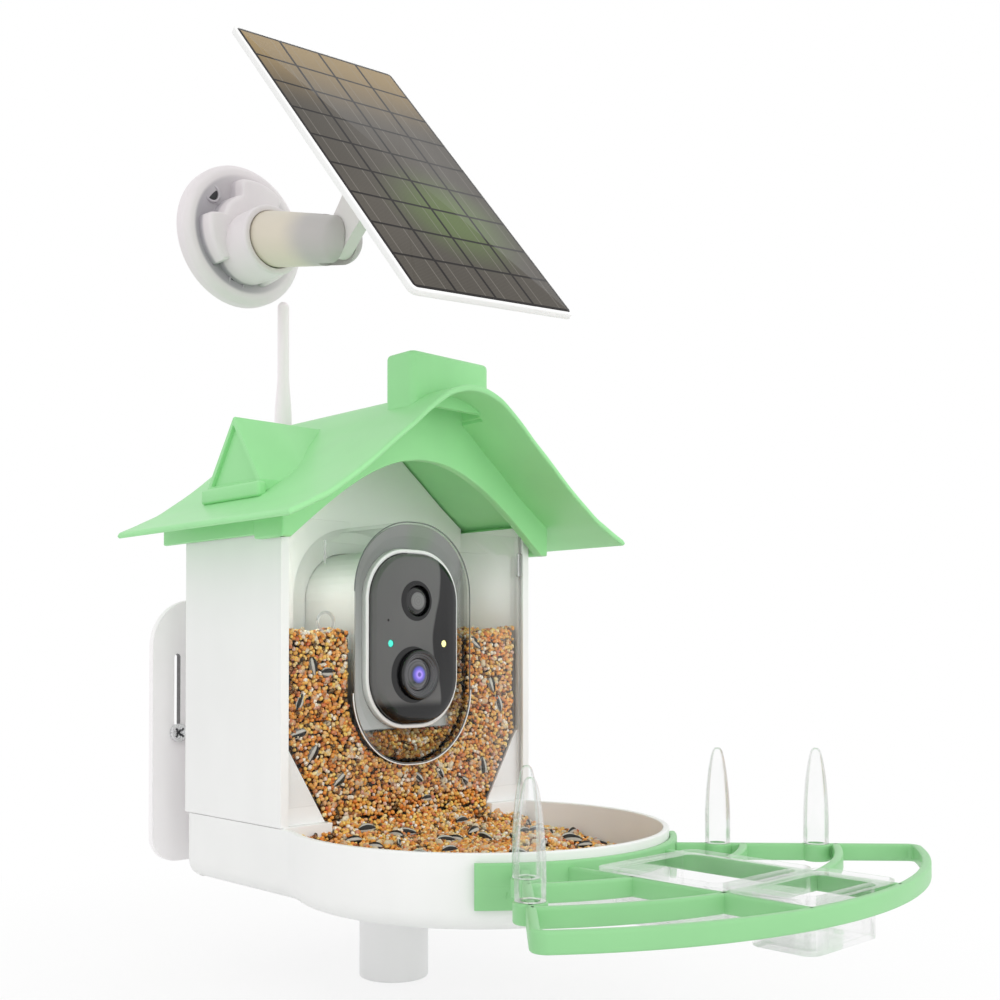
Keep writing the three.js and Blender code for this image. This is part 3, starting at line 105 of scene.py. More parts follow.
CELL_X, CELL_Y, CELLS_ACROSS, CELLS_ALONG = 24.2, 22.0, 4, 9

# The picture's light and viewpoint, in metres, watts and degrees

SKY = {"on the object": 0.96, "to the eye": 1.0}
SOFT_LAMPS = {"key lamp": ((-1.3, -1.2, 1.9), 1.5, 5), "front lamp": ((0.2, -2.0, 0.35), 1.6, 9)}
ROOM_LAMPS = {"left lamp": ((-0.062, -0.092, 0.08), 0.012, 0.03),
              "right lamp": ((0.062, -0.092, 0.08), 0.012, 0.007)}
FEEDER_MIDDLE = Vector((0, -0.1, 0.08))
VIEW = {"place": (-0.4248, -0.6060, 0.0437), "up": 1.01, "turn": -43.385, "sensor": 36.0, "lens": 44.02,
        "shift": (0.0302, 0.129)}


# Sizes and colours that a user would change

def length(name, description, default, low, high):
    return bpy.props.FloatProperty(
        name=name, description=description, default=default, min=low, max=high, subtype="DISTANCE", unit="LENGTH")


def colour(name, description, red, green, blue):
    return bpy.props.FloatVectorProperty(
        name=name, description=description, default=linear(red, green, blue), size=3, min=0, max=1,
        subtype="COLOR")


def linear(red, green, blue):
    """A colour given as seen on a screen, from 0 to 255, as the linear values that a shader takes."""
    seen = np.array([red, green, blue]) / 255
    return tuple(float(c) for c in np.where(seen <= 0.04045, seen / 12.92, ((seen + 0.055) / 1.055) ** 2.4))


class FeederSizes(bpy.types.PropertyGroup):
    """Sizes of the feeder's finer details"""

    roof_edge: length("Roof edge", "Radius of the roof's rounded rim", 0.0011, 0.0002, 0.0016)
    moulded_edge: length("Moulded edge", "Radius of the edges of the white pieces", 0.0008, 0.0001, 0.002)
    perch_edge: length("Perch edge", "Radius of the edges of the perch frame's bars", 0.0011, 0.0001, 0.0019)
    millet: length("Millet", "Length of a millet grain", 0.0031, 0.0015, 0.005)
    millet_apart: length("Millet spacing", "How far apart the grains lie", 0.0023, 0.0012, 0.005)
    sunflower: length("Sunflower seed", "Length of a striped sunflower seed", 0.0115, 0.006, 0.016)
    cell_gap: length("Cell gap", "Width of the dark line between two solar cells", 0.0013, 0.0003, 0.004)


class FeederColours(bpy.types.PropertyGroup):
    """Colours of the feeder's finishes"""

    shell: colour("Shell", "White plastic of the house, tray, plate and solar base", 244, 244, 243)
    roof: colour("Roof", "Green plastic of the roof and the perch frame", 161, 229, 161)
    camera: colour("Camera face", "Glossy black front of the camera", 16, 16, 18)
    camera_body: colour("Camera body", "Pale plastic of the camera's shell", 236, 237, 236)
    clear_tint: colour("Clear plastic", "Tint of light through the window, cups and spikes", 254, 254, 254)
    smoky_tint: colour("Smoky plastic", "Tint of light through the tunnel round the camera", 250, 251, 250)
    millet: colour("Millet", "Main tone of the small grains", 228, 160, 66)
    cells: colour("Solar cells", "Silicon cells under the panel's glass", 84, 79, 72)
    status: colour("Status light", "Light at the left of the lens", 64, 196, 176)
    night: colour("Night light", "Light at the right of the lens", 238, 234, 160)


def sizes():
    return bpy.context.scene.feeder_sizes


def colours():
    return bpy.context.scene.feeder_colours


def millimetres(size):
    return 1000 * size


# Shapes as functions on grids

def metres(points):
    """Points in millimetres from the house's front and the tray's top, in metres in the part's frame."""
    return (np.asarray(points, float) - HOUSE_FRONT) / 1000


def grid_faces(rows, cols, loop_rows=False, loop_cols=True):
    """Four-sided faces of a grid of points counted row by row. A looped side joins its end to its start."""
    i = np.arange(rows if loop_rows else rows - 1)[:, None]
    j = np.arange(cols if loop_cols else cols - 1)[None, :]
    i_next, j_next = (i + 1) % rows, (j + 1) % cols
    corners = [i * cols + j, i * cols + j_next, i_next * cols + j_next, i_next * cols + j]
    return np.stack(np.broadcast_arrays(*corners), -1).reshape(-1, 4)


def gathered(*parts):
    """Several (points, face arrays) parts as one, with each part's faces counted on from the last."""
    points, faces, start = [], [], 0
    for part_points, part_faces in parts:
        flat = np.asarray(part_points, float).reshape(-1, 3)
        points.append(flat)
        faces += [np.asarray(f) + start for f in part_faces]
        start += len(flat)
    return np.concatenate(points), faces


def circle(count, radius=1.0):
    """Points (r cos a, r sin a) at even angles, anticlockwise."""
    angle = np.arange(count) * TAU / count
    return np.stack([np.cos(angle), np.sin(angle)], -1) * radius


def rounded_rect(width, height, corner, middle=(0, 0), steps=8):
    """Outline of a rectangle with a quarter circle at each corner, anticlockwise."""
    quarter = np.linspace(0, math.pi / 2, steps + 1)
    sides = []
    for turn, (right, up) in enumerate(((1, 1), (-1, 1), (-1, -1), (1, -1))):
        angle = quarter + turn * math.pi / 2
        sides.append(np.stack([right * (width / 2 - corner) + corner * np.cos(angle),
                               up * (height / 2 - corner) + corner * np.sin(angle)], -1))
    return np.concatenate(sides) + middle


def outward(outline):
    """Unit normals of an anticlockwise outline: the way from each point's neighbour to the next, turned right."""
    along = np.roll(outline, -1, 0) - np.roll(outline, 1, 0)
    along = along / np.linalg.norm(along, axis=1, keepdims=True)
    return np.stack([along[:, 1], -along[:, 0]], -1)


def eased(corners, reaches, steps=4):
    """A line through corners, each inner one rounded by a quadratic curve that starts a reach before it."""
    points = np.asarray(corners, float)
    share = np.linspace(0, 1, steps + 1)[:, None]
    line = [points[:1]]
    for before, at, after, reach in zip(points[:-2], points[1:-1], points[2:], reaches):
        if not reach:
            line.append(at[None])
            continue
        back, on = before - at, after - at
        start = at + back / np.linalg.norm(back) * reach
        end = at + on / np.linalg.norm(on) * reach
        line.append((1 - share) ** 2 * start + 2 * share * (1 - share) * at + share ** 2 * end)
    line.append(points[-1:])
    return np.concatenate(line)


def capped(rows, loop_rows=False, caps=(True, True)):
    """A grid of closed rings, K x N x 3, as a skin whose first and last rings are closed by fans."""
    count, across = rows.shape[:2]
    points = rows.reshape(-1, 3)
    faces = [grid_faces(count, across, loop_rows)]
    j = np.arange(across)
    for wanted, row in zip(caps, (0, count - 1)):
        if wanted and not loop_rows:
            hub = np.full(across, len(points))
            points = np.concatenate([points, rows[row].mean(0)[None]])
            here, following = row * across + j, row * across + (j + 1) % across
            faces.append(np.stack([hub, following, here] if row == 0 else [hub, here, following], -1))
    return points, faces


def carried(outline, profile, normals=None, loop=False, caps=(True, True)):
    """A profile of (out, up) steps carried round an outline: outline + out * normal, at the height up."""
    normals = outward(outline) if normals is None else normals
    profile = np.asarray(profile, float)
    ring = outline[None] + profile[:, None, :1] * normals[None]
    up = np.broadcast_to(profile[:, None, 1:], (*ring.shape[:2], 1))
    return capped(np.concatenate([ring, up], -1), loop, caps)


def turned(profile, count=48, loop=False, caps=(True, True)):
    """A profile of (radius, up) steps turned about the vertical axis: (r cos a, r sin a, up)."""
    return carried(np.zeros((count, 2)), profile, circle(count), loop, caps)


def standing(part, at):
    """A part drawn about the vertical axis, moved to a place (x, y, z)."""
    points, faces = part
    return points + np.asarray(at, float), faces


def facing_front(part, at):
    """A part drawn flat, stood up to face the front: across to x, along to z, up to -y, from a place."""
    points, faces = part
    return np.stack([points[:, 0], -points[:, 2], points[:, 1]], -1) + np.asarray(at, float), faces


def moved(part, turn, at):
    """A part turned by a 3 x 3 matrix and moved to a place."""
    points, faces = part
    return points @ np.asarray(turn).T + np.asarray(at, float), faces


def bar(path, width, foot, top, ease, closed=False):
    """A bar along a line in the plane: each section is a rounded rectangle, side * left + up, with mitred turns."""
    path = np.asarray(path, float)
    ahead = np.roll(path, -1, 0) - path
    behind = path - np.roll(path, 1, 0)
    if not closed:
        ahead[-1], behind[0] = behind[-1], ahead[0]
    ahead = ahead / np.linalg.norm(ahead, axis=1, keepdims=True)
    behind = behind / np.linalg.norm(behind, axis=1, keepdims=True)
    along = ahead + behind
    along = along / np.linalg.norm(along, axis=1, keepdims=True)
    mitre = 1 / np.maximum((along * ahead).sum(1, keepdims=True), 0.5)
    left = np.stack([-along[:, 1], along[:, 0]], -1) * mitre
    section = rounded_rect(width, top - foot, ease, (0, (foot + top) / 2), 3)
    flat = path[:, None] + section[None, :, :1] * left[:, None]
    up = np.broadcast_to(section[None, :, 1:], (*flat.shape[:2], 1))
    return capped(np.concatenate([flat, up], -1), closed)


def soft_box(x, y, z, ease):
    """A block between two places on each axis, with its edges rounded by a quarter circle."""
    outline = rounded_rect(x[1] - x[0], y[1] - y[0], ease, ((x[0] + x[1]) / 2, (y[0] + y[1]) / 2), 3)
    angle = np.linspace(0, math.pi / 2, 4)
    foot = np.stack([-ease * (1 - np.sin(angle)), z[0] + ease * (1 - np.cos(angle))], -1)
    head = np.stack([-ease * (1 - np.cos(angle)), z[1] - ease * (1 - np.sin(angle))], -1)
    return carried(outline, np.concatenate([foot, head]))


def slab(middle, half, lean, keep=None):
    """A sheet with two faces, each half a thickness off a middle surface along a lean, and walls at its edges.

    middle is rows x cols x 3, with cols to the right and rows ahead when seen from the lean's side.
    keep says which cells are there, so that a sheet can have openings."""
    rows, cols = middle.shape[:2]
    offset = half[..., None] * np.asarray(lean, float)
    points = np.concatenate([(middle + offset).reshape(-1, 3), (middle - offset).reshape(-1, 3)])
    keep = np.ones((rows - 1, cols - 1), bool) if keep is None else keep
    index = np.arange(rows * cols).reshape(rows, cols)
    a, b, c, d = index[:-1, :-1], index[:-1, 1:], index[1:, 1:], index[1:, :-1]
    low = rows * cols
    faces = [np.stack([a, b, c, d], -1)[keep], np.stack([d, c, b, a], -1)[keep] + low]
    ringed = np.pad(keep, 1)
    for there, (start, end) in (
            (ringed[:-2, 1:-1], (a, b)), (ringed[1:-1, 2:], (b, c)),
            (ringed[2:, 1:-1], (c, d)), (ringed[1:-1, :-2], (d, a))):
        edge = keep & ~there
        faces.append(np.stack([start + low, end + low, end, start], -1)[edge])
    return points, faces


def rim(distance, radius):
    """How much of its thickness a rounded edge has at a distance in from the edge: a quarter circle."""
    share = np.clip(distance / radius, 0, 1)
    return np.sqrt(np.clip(1 - (1 - share) ** 2, 0, 1))


def places_with_edges(start, end, count, edge, *through):
    """Even places from start to end, with more of them close to both ends and at the given places."""
    near = edge * (1 - np.cos(np.linspace(0, math.pi / 2, 5)))
    even = np.linspace(start + edge, end - edge, count)
    return np.unique(np.round(np.concatenate([start + near, even, end - near, through]), 5))


def turned_each(shape, places, turns, scales):
    """Copies of a small shape: scale * shape turned by each unit quaternion (w, x, y, z), at each place."""
    w, x, y, z = np.moveaxis(turns, -1, 0)
    matrix = np.stack([
        1 - 2 * (y * y + z * z), 2 * (x * y - z * w), 2 * (x * z + y * w),
        2 * (x * y + z * w), 1 - 2 * (x * x + z * z), 2 * (y * z - x * w),
        2 * (x * z - y * w), 2 * (y * z + x * w), 1 - 2 * (x * x + y * y)], -1).reshape(-1, 3, 3)
    points = shape[0][None] * scales[:, None, :]
    points = np.einsum("nij,nkj->nki", matrix, points) + places[:, None]
    step = (np.arange(len(places)) * len(shape[0]))[:, None, None]
    faces = [(f[None] + step).reshape(-1, f.shape[1]) for f in shape[1]]
    return points.reshape(-1, 3), faces


# Mesh making

def make_mesh(name, part, sharp=35, weld=False):
    """A mesh of a part: its points in millimetres and arrays of faces with an even number of corners each."""
    points, faces = part
    points = metres(points)
    faces = [np.asarray(f) for f in faces if len(f)]
    mesh = bpy.data.meshes.new(name)
    mesh.vertices.add(len(points))
    mesh.vertices.foreach_set("co", points.astype(np.float32).ravel())
    corners = np.concatenate([f.ravel() for f in faces])
    totals = np.concatenate([np.full(len(f), f.shape[1]) for f in faces])
    mesh.loops.add(len(corners))
    mesh.loops.foreach_set("vertex_index", corners.astype(np.int32))
    mesh.polygons.add(len(totals))
    mesh.polygons.foreach_set("loop_start", (np.cumsum(totals) - totals).astype(np.int32))
    mesh.update(calc_edges=True)
    if weld:
        together, sliver = 2e-6, 1e-7
        skin = bmesh.new()
        skin.from_mesh(mesh)
        bmesh.ops.remove_doubles(skin, verts=skin.verts, dist=together)
        bmesh.ops.dissolve_degenerate(skin, edges=skin.edges, dist=sliver)
        skin.to_mesh(mesh)
        skin.free()
    mesh.polygons.foreach_set("use_smooth", np.ones(len(mesh.polygons), bool))
    if sharp:
        mesh.set_sharp_from_angle(angle=math.radians(sharp))
    return mesh


def give_attribute(mesh, name, values):
    """Puts one number for each point of a mesh into a named attribute."""
    mesh.attributes.new(name, "FLOAT", "POINT").data.foreach_set("value", np.asarray(values, np.float32))


def give_uv(mesh, places):
    """Puts a flat place for each point of a mesh into its UV map."""
    corner = np.empty(len(mesh.loops), np.int32)
    mesh.loops.foreach_get("vertex_index", corner)
    mesh.uv_layers.new(name="pattern").data.foreach_set("uv", np.asarray(places, np.float32)[corner].ravel())


def settle(name, mesh, body, finish, stands_for=()):
    """Puts a mesh in the scene as a piece of a body, with its finish and the nodes that it stands for."""
    piece = bpy.data.objects.new(name, mesh)
    bpy.context.scene.collection.objects.link(piece)
    mesh.materials.clear()
    mesh.materials.append(finish_named(finish))
    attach(piece, body)
    if stands_for:
        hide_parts(*stands_for)
    return piece


def piece_of(name, part, body, finish, stands_for=(), sharp=35, weld=False):
    """Makes a part into a mesh and settles it."""
    return settle(name, make_mesh(name, part, sharp, weld), body, finish, stands_for)


def body_of(node):
    """The moving or fixed body that a node of the frame belongs to."""
    return frame["nodes"][node]["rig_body"]


def node_copy(node, reshape=None):
    """A welded copy of a node's mesh with its flat faces made whole, its points changed by a function if asked."""
    together, flat = 1e-6, math.radians(0.4)
    mesh = frame["nodes"][node].data.copy()
    shell = bmesh.new()
    shell.from_mesh(mesh)
    bmesh.ops.remove_doubles(shell, verts=shell.verts, dist=together)
    bmesh.ops.dissolve_limit(shell, angle_limit=flat, verts=shell.verts, edges=shell.edges)
    shell.to_mesh(mesh)
    shell.free()
    if reshape:
        points = np.empty(len(mesh.vertices) * 3, np.float32)
        mesh.vertices.foreach_get("co", points)
        changed = metres(reshape(points.reshape(-1, 3) * 1000 + HOUSE_FRONT))
        mesh.vertices.foreach_set("co", changed.astype(np.float32).ravel())
    return mesh


def from_frame(node, finish, width=0.5, angle=32, name=None, clamp=True, reshape=None):
    """A moulded piece in the shape of its node, with its edges rounded by a width in millimetres."""
    mesh = node_copy(node, reshape)
    mesh.polygons.foreach_set("use_smooth", np.ones(len(mesh.polygons), bool))
    mesh.set_sharp_from_angle(angle=math.radians(angle))
    piece = settle(name or f"{node}_skin", mesh, body_of(node), finish, [node])
    if width:
        edges = piece.modifiers.new("edges", "BEVEL")
        edges.width = width / 1000
        edges.segments = 2
        edges.limit_method = "ANGLE"
        edges.angle_limit = math.radians(angle)
        edges.harden_normals = True
        edges.use_clamp_overlap = clamp
    return piece


# Shader making

class Value:
    """A socket of a material that takes part in plain sums. Each sum adds its Math node."""

    def __init__(self, finish, socket):
        self.finish, self.socket = finish, socket

    def sum(self, operation, first, second=None, clamp=False):
        inputs = {0: first} if second is None else {0: first, 1: second}
        return self.finish.node("ShaderNodeMath", {"operation": operation, "use_clamp": clamp}, inputs)

    def __add__(self, other): return self.sum("ADD", self, other)
    def __radd__(self, other): return self.sum("ADD", other, self)
    def __sub__(self, other): return self.sum("SUBTRACT", self, other)
    def __rsub__(self, other): return self.sum("SUBTRACT", other, self)
    def __mul__(self, other): return self.sum("MULTIPLY", self, other)
    def __rmul__(self, other): return self.sum("MULTIPLY", other, self)
    def __truediv__(self, other): return self.sum("DIVIDE", self, other)
    def __pow__(self, other): return self.sum("POWER", self, other)
    def __abs__(self): return self.sum("ABSOLUTE", self)

    def most(self, other): return self.sum("MAXIMUM", self, other)
    def wave(self): return self.sum("SINE", self)
    def part(self): return self.sum("FRACT", self)
    def root(self): return self.sum("SQRT", self)
    def clamped(self): return self.sum("ADD", self, 0, True)

    def band(self, start, end, low=0.0, high=1.0):
        """Runs smoothly from low to high while this value goes from start to end."""
        return self.finish.node("ShaderNodeMapRange", {"interpolation_type": "SMOOTHSTEP"},
                                {0: self, 1: start, 2: end, 3: low, 4: high})


class Finish:
    """A material being made. node() adds any node, and the other methods name the ones used most."""

    def __init__(self, name):
        self.material = bpy.data.materials.new(name)
        self.material.use_nodes = True
        self.tree = self.material.node_tree
        self.tree.nodes.clear()
        self.out = self.tree.nodes.new("ShaderNodeOutputMaterial")

    def node(self, kind, settings=None, inputs=None, out=0):
        """Adds a node: its settings first, then the values or links of its sockets. Gives one output."""
        made = self.tree.nodes.new(kind)
        for key, value in (settings or {}).items():
            if key == "stops":
                ramp = made.color_ramp
                while len(ramp.elements) < len(value):
                    ramp.elements.new(0.5)
                for element, (place, tone) in zip(ramp.elements, value):
                    element.position, element.color = place, (*tone[:3], 1)
            else:
                setattr(made, key, value)
        for key, value in (inputs or {}).items():
            socket = made.inputs[key]
            if isinstance(value, Value):
                self.tree.links.new(value.socket, socket)
            elif socket.type == "RGBA":
                socket.default_value = (*tuple(value)[:3], 1)
            else:
                socket.default_value = value
        return Value(self, made.outputs[out])

    def place(self):
        return self.node("ShaderNodeTexCoord", out="Object")

    def axes(self, vector=None):
        """The x, y and z of a vector, or of the place on the piece, in metres."""
        split = self.node("ShaderNodeSeparateXYZ", None, {0: vector or self.place()})
        return [Value(self, split.socket.node.outputs[i]) for i in range(3)]

    def attribute(self, name):
        return self.node("ShaderNodeAttribute", {"attribute_name": name}, out="Fac")

    def noise(self, scale, detail=2.0, roughness=0.5, vector=None, stretch=None):
        """Cloudy noise from 0 to 1 with scale lumps to the metre, stretched along an axis if asked."""
        spot = vector or self.place()
        if stretch:
            spot = self.node("ShaderNodeMapping", None, {"Vector": spot, "Scale": stretch})
        return self.node("ShaderNodeTexNoise", None,
                         {"Vector": spot, "Scale": scale, "Detail": detail, "Roughness": roughness})

    def tint(self, share, low, high):
        """A colour between low and high by a share from 0 to 1."""
        return self.node("ShaderNodeMix", {"data_type": "RGBA"}, {0: share, 6: low, 7: high}, out=2)

    def ramp(self, share, stops):
        """A colour read off a row of (place, colour) stops."""
        return self.node("ShaderNodeValToRGB", {"stops": stops}, {0: share})

    def bump(self, height, depth):
        """A normal that rises with a height from 0 to 1 by a depth in millimetres."""
        return self.node("ShaderNodeBump", None, {"Strength": 1.0, "Distance": depth / 1000, "Height": height})

    def principled(self, **sockets):
        names = {key.replace("_", " "): value for key, value in sockets.items()}
        return self.node("ShaderNodeBsdfPrincipled", None, names)

    def mix(self, share, first, second):
        return self.node("ShaderNodeMixShader", None, {0: share, 1: first, 2: second})

    def done(self, surface):
        self.tree.links.new(surface.socket, self.out.inputs["Surface"])
        return self.material

    def surface(self, **sockets):
        """The finished material, where one Principled shader is all of it."""
        return self.done(self.principled(**sockets))

    def radius_from(self, x, z):
        """Distance in millimetres from a line that runs to the front through x, z on the house's own scale."""
        across, _, up = self.axes()
        dx = across * 1000 - x
        dz = up * 1000 - (z - float(HOUSE_FRONT[2]))
        return (dx * dx + dz * dz).root()


def shade_of(tone, share):
    """A tone made darker: each of its values times a share."""
    return tuple(c * share for c in tone)


def plastic_surface(finish, tone, roughness, grain, darker=0.93):
    """Moulded plastic: a slow drift between two close tones, satin flow marks and a very fine skin grain.

    Gives its colour, its roughness and its normal.
    """
    drift = finish.noise(14, 3, 0.55)
    flow = finish.noise(60, 2, 0.5, stretch=(1, 1, 0.25))
    skin = finish.noise(1500, 2, 0.6)
    speck = finish.noise(420, 1, 0.5).band(0.66, 0.8)
    base = finish.tint((drift * 0.75 + flow * 0.25).band(0.3, 0.7), shade_of(tone, darker), tone)
    return base, roughness - 0.05 + flow * 0.08 + speck * 0.06, finish.bump(skin * 0.7 + flow * 0.3, grain)


def moulded_plastic(name, tone, roughness=0.4, grain=0.02, coat=0.0, darker=0.93):
    """The feeder's plain plastic in one tone, with a thin gloss coat if asked."""
    finish = Finish(name)
    base, rough, normal = plastic_surface(finish, tone, roughness, grain, darker)
    return finish.surface(
        Base_Color=base, Roughness=rough, Normal=normal, Coat_Weight=coat, Coat_Roughness=0.12, IOR=1.47)


def plate_plastic():
    """The wall plate's white plastic, brighter than the house's as painted light, with painted shade in the two upright
    screw slots.
    """
    finish = Finish("plate plastic")
    slot_x, slot_z = 0.078, 0.019
    # Painted light: the plate's white is brighter than the house's, to make up for the shade that the house casts on
    # it.
    base, rough, normal = plastic_surface(finish, linear(254, 251, 252), 0.42, 0.02, 0.97)
    x, y, z = finish.axes()
    wide = abs(abs(x) - slot_x).band(0.0026, 0.0023)
    tall = abs(z - slot_z).band(0.0232, 0.0229)
    deep = y.band(-0.00398, -0.00388)
    # Painted shade: the screw slots' inner walls are painted grey.
    slot_shade = wide * tall * deep * (0.85 + finish.noise(400, 2) * 0.15)
    return finish.surface(
        Base_Color=finish.tint(slot_shade, base, linear(104, 102, 104)), Roughness=rough, Normal=normal, IOR=1.47)


def clear_plastic(name, tint, edge_share, milk, gloss=0.04, shine_share=0.9, haze=0.35):
    """Clear moulded plastic: see-through face on, darker and milkier at a slant, with gloss by its Fresnel share."""
    finish = Finish(name)
    drift = finish.noise(30, 2, 0.5)
    slant = finish.node("ShaderNodeLayerWeight", None, {"Blend": 0.3}, out="Facing") ** 5
    through = finish.node("ShaderNodeBsdfTransparent", None,
                          {"Color": finish.tint(slant, tint, shade_of(tint, edge_share))})
    veil = finish.principled(
        Base_Color=linear(240, 244, 242), Roughness=0.35, Normal=finish.bump(drift, 0.02))
    shine = finish.node("ShaderNodeBsdfGlossy", None, {"Color": (1, 1, 1), "Roughness": gloss})
    glint = finish.node("ShaderNodeFresnel", None, {"IOR": 1.42})
    milky = finish.mix((slant * haze + drift.band(0.35, 0.75, 0, milk)).clamped(), through, veil)
    return finish.done(finish.mix((glint * shine_share).clamped(), milky, shine))


def plain_metal(name, tone, roughness=0.3):
    """Plated steel with fine turning marks."""
    finish = Finish(name)
    marks = finish.noise(900, 2, 0.6, stretch=(1, 0.2, 1))
    return finish.surface(
        Base_Color=finish.tint(marks, shade_of(tone, 0.75), tone), Metallic=1.0,
        Roughness=roughness + marks * 0.12, Normal=finish.bump(marks, 0.02))


def solar_base_plastic():
    """The solar base's white plastic, tinted a little pink as painted light against the green light that the roof
    bounces onto it, with painted shade that greys the dish round its hub, most of all at its lower left.
    """
    finish = Finish("solar base plastic")
    hub_x, hub_z = -0.0375, 0.283
    # Painted light: the tone leans pink against the green light that the roof bounces onto the base.
    base, rough, normal = plastic_surface(finish, linear(232, 226, 228), 0.42, 0.02, 0.95)
    x, y, z = finish.axes()
    across, up = x - hub_x, z - hub_z
    out = (across * across + up * up).root()
    # Painted shade: the dish round the hub is greyed, most of all at its lower left.
    dish_shade = out.band(0.0345, 0.032) * out.band(0.018, 0.021) * y.band(-0.012, -0.009) * y.band(-0.002, -0.004)
    left = (up * -0.5 - across).band(-0.02, 0.03)
    return finish.surface(
        Base_Color=finish.tint(dish_shade * (left * 0.75 + 0.25), base, linear(176, 172, 178)),
        Roughness=rough, Normal=normal, IOR=1.47)


def arm_plastic():
    """The solar arm's white plastic, with a painted warm glow at its root and painted shade that greys it towards the
    joint.
    """
    finish = Finish("arm plastic")
    # Painted light: the warm tone is a glow on the arm, kept at its root.
    base, rough, normal = plastic_surface(finish, linear(222, 213, 196), 0.42, 0.02)
    _, y, _ = finish.axes()
    # Painted shade: the arm greys towards the joint.
    near = (y + finish.noise(30, 2, 0.5) * 0.012).band(-0.052, -0.078)
    return finish.surface(
        Base_Color=finish.tint(near, base, linear(188, 184, 182)), Roughness=rough, Normal=normal, IOR=1.47)


def flare_plastic():
    """The smoky ring round the camera: at its top and left satin grey, darker upward, as painted shade, and clear below
    and at the right.

    A faint green patch lies above the camera.
    """
    finish = Finish("smoky ring")
    patch_x, patch_z = 0.006, 0.105
    x, _, z = finish.axes()
    drift = finish.noise(34, 2, 0.5)
    # Painted shade: the ring's grey, darker upward, stands for the shade in the tunnel behind it.
    grey = finish.tint((z + drift * 0.03).band(0.035, 0.11), linear(192, 193, 194), linear(150, 151, 151))
    patch = ((x - patch_x) * (x - patch_x) + (z - patch_z) * (z - patch_z)).root().band(0.013, 0.004) * 0.4
    satin = finish.principled(Base_Color=finish.tint(patch, grey, linear(128, 156, 122)), Roughness=0.3 + drift * 0.1)
    through = finish.node("ShaderNodeBsdfTransparent", None, {
        "Color": finish.tint(drift, linear(236, 236, 236), linear(250, 250, 250))})
    shine = finish.node("ShaderNodeBsdfGlossy", None, {"Color": (1, 1, 1), "Roughness": 0.08})
    clear = finish.mix(finish.node("ShaderNodeFresnel", None, {"IOR": 1.3}) * 0.2, through, shine)
    solid = z.band(0.0022, 0.0034) * (x - (z - 0.05) * 0.12).band(0.034, 0.026) * 0.93
    return finish.done(finish.mix(solid, clear, satin))


def chrome_screw():
    """Polished screw head with painted shade round its rim and in its cross, found by the distance from the nearer
    screw's axis.
    """
    finish = Finish("chrome screw")
    screw_x, screw_z, eighth_turn, arm_long, arm_wide = 0.078, -0.0015, 0.7071, (3.5, 3.2), (0.72, 0.5)
    x, _, z = finish.axes()
    across, up = (abs(x) - screw_x) * 1000, (z - screw_z) * 1000
    turned_x, turned_z = abs((across + up) * eighth_turn), abs((across - up) * eighth_turn)
    # Painted shade: the cross recess is painted dark and the ring round the head's rim darker.
    slot = turned_x.most(turned_z).band(*arm_long) * turned_x.band(*arm_wide).most(turned_z.band(*arm_wide))
    rim_shade = (across * across + up * up).root().band(4.7, 5.3)
    marks = finish.noise(500, 2, 0.6)
    base = finish.tint(slot.most(rim_shade * 0.75), linear(246, 247, 248), linear(84, 85, 88))
    return finish.surface(
        Base_Color=base, Metallic=0.75, Roughness=0.22 + marks * 0.12, Normal=finish.bump(1 - slot, 0.3))


def camera_face():
    """Glossy black camera face with a painted grey reflection over its left two thirds up to a waved edge.

    The painted reflection stops at its foot and round the lens and the sensor, where rings set a little to their left
    stay black as painted shadow.
    """
    finish = Finish("camera face")
    x, _, z = finish.axes()
    # Painted reflection: the grey over the left part, up to a waved edge.
    edge = 0.0108 + (z * 95).wave() * 0.0028 + finish.noise(26, 2, 0.5) * 0.004
    left = (edge - x).band(-0.0008, 0.0008)
    above = z.band(0.0135, 0.0185)
    veil = finish.noise(18, 2, 0.5)
    grey = finish.tint(veil, linear(84, 84, 84), linear(104, 104, 104))
    hair = finish.noise(700, 2, 0.6, stretch=(1, 1, 0.1))
    pin = finish.radius_from(-20.5, 101.5).band(0.55, 0.85)
    # Painted shadow: dark rings round the sensor and the lens, set a little to their left.
    moat = finish.radius_from(-1.2, SENSOR_UP).band(10.4, 10.9)
    hollow = finish.radius_from(-3.6, LENS_UP).band(14.6, 15.2)
    face = finish.tint(left * above * moat * hollow, colours().camera, grey)
    return finish.surface(
        Base_Color=finish.tint(pin, linear(20, 20, 20), face),
        Roughness=0.14 + hair * 0.05, Coat_Weight=0.25, Coat_Roughness=0.06, IOR=1.4)


def lens_glass():
    """Coated lens: a bright violet pupil that glows as a painted highlight, dark blue round it, then rings of grey and
    black.
    """
    finish = Finish("lens glass")
    glass_radius = 8.4
    out = finish.radius_from(0, LENS_UP)
    swirl = finish.noise(260, 2, 0.5)
    # Painted highlight: the bright violet ring round the pupil's middle.
    rings = finish.ramp((out / glass_radius + swirl * 0.02).clamped(), [
        (0.0, linear(60, 40, 120)), (0.1, linear(44, 34, 110)), (0.2, linear(176, 150, 240)),
        (0.32, linear(118, 96, 214)), (0.46, linear(66, 74, 176)), (0.58, linear(24, 24, 52)),
        (0.66, linear(62, 62, 66)), (0.76, linear(84, 84, 88)), (0.84, linear(54, 54, 58)), (0.93, linear(92, 92, 96))])
    # Painted highlight: the pupil glows, though the lens is no lamp.
    glow = out.band(5.2, 1.6)
    return finish.surface(
        Base_Color=rings, Roughness=0.05 + swirl * 0.04, Coat_Weight=1.0, Coat_Roughness=0.02,
        Emission_Color=finish.tint(glow, (0, 0, 0), linear(104, 84, 215)), Emission_Strength=0.35)


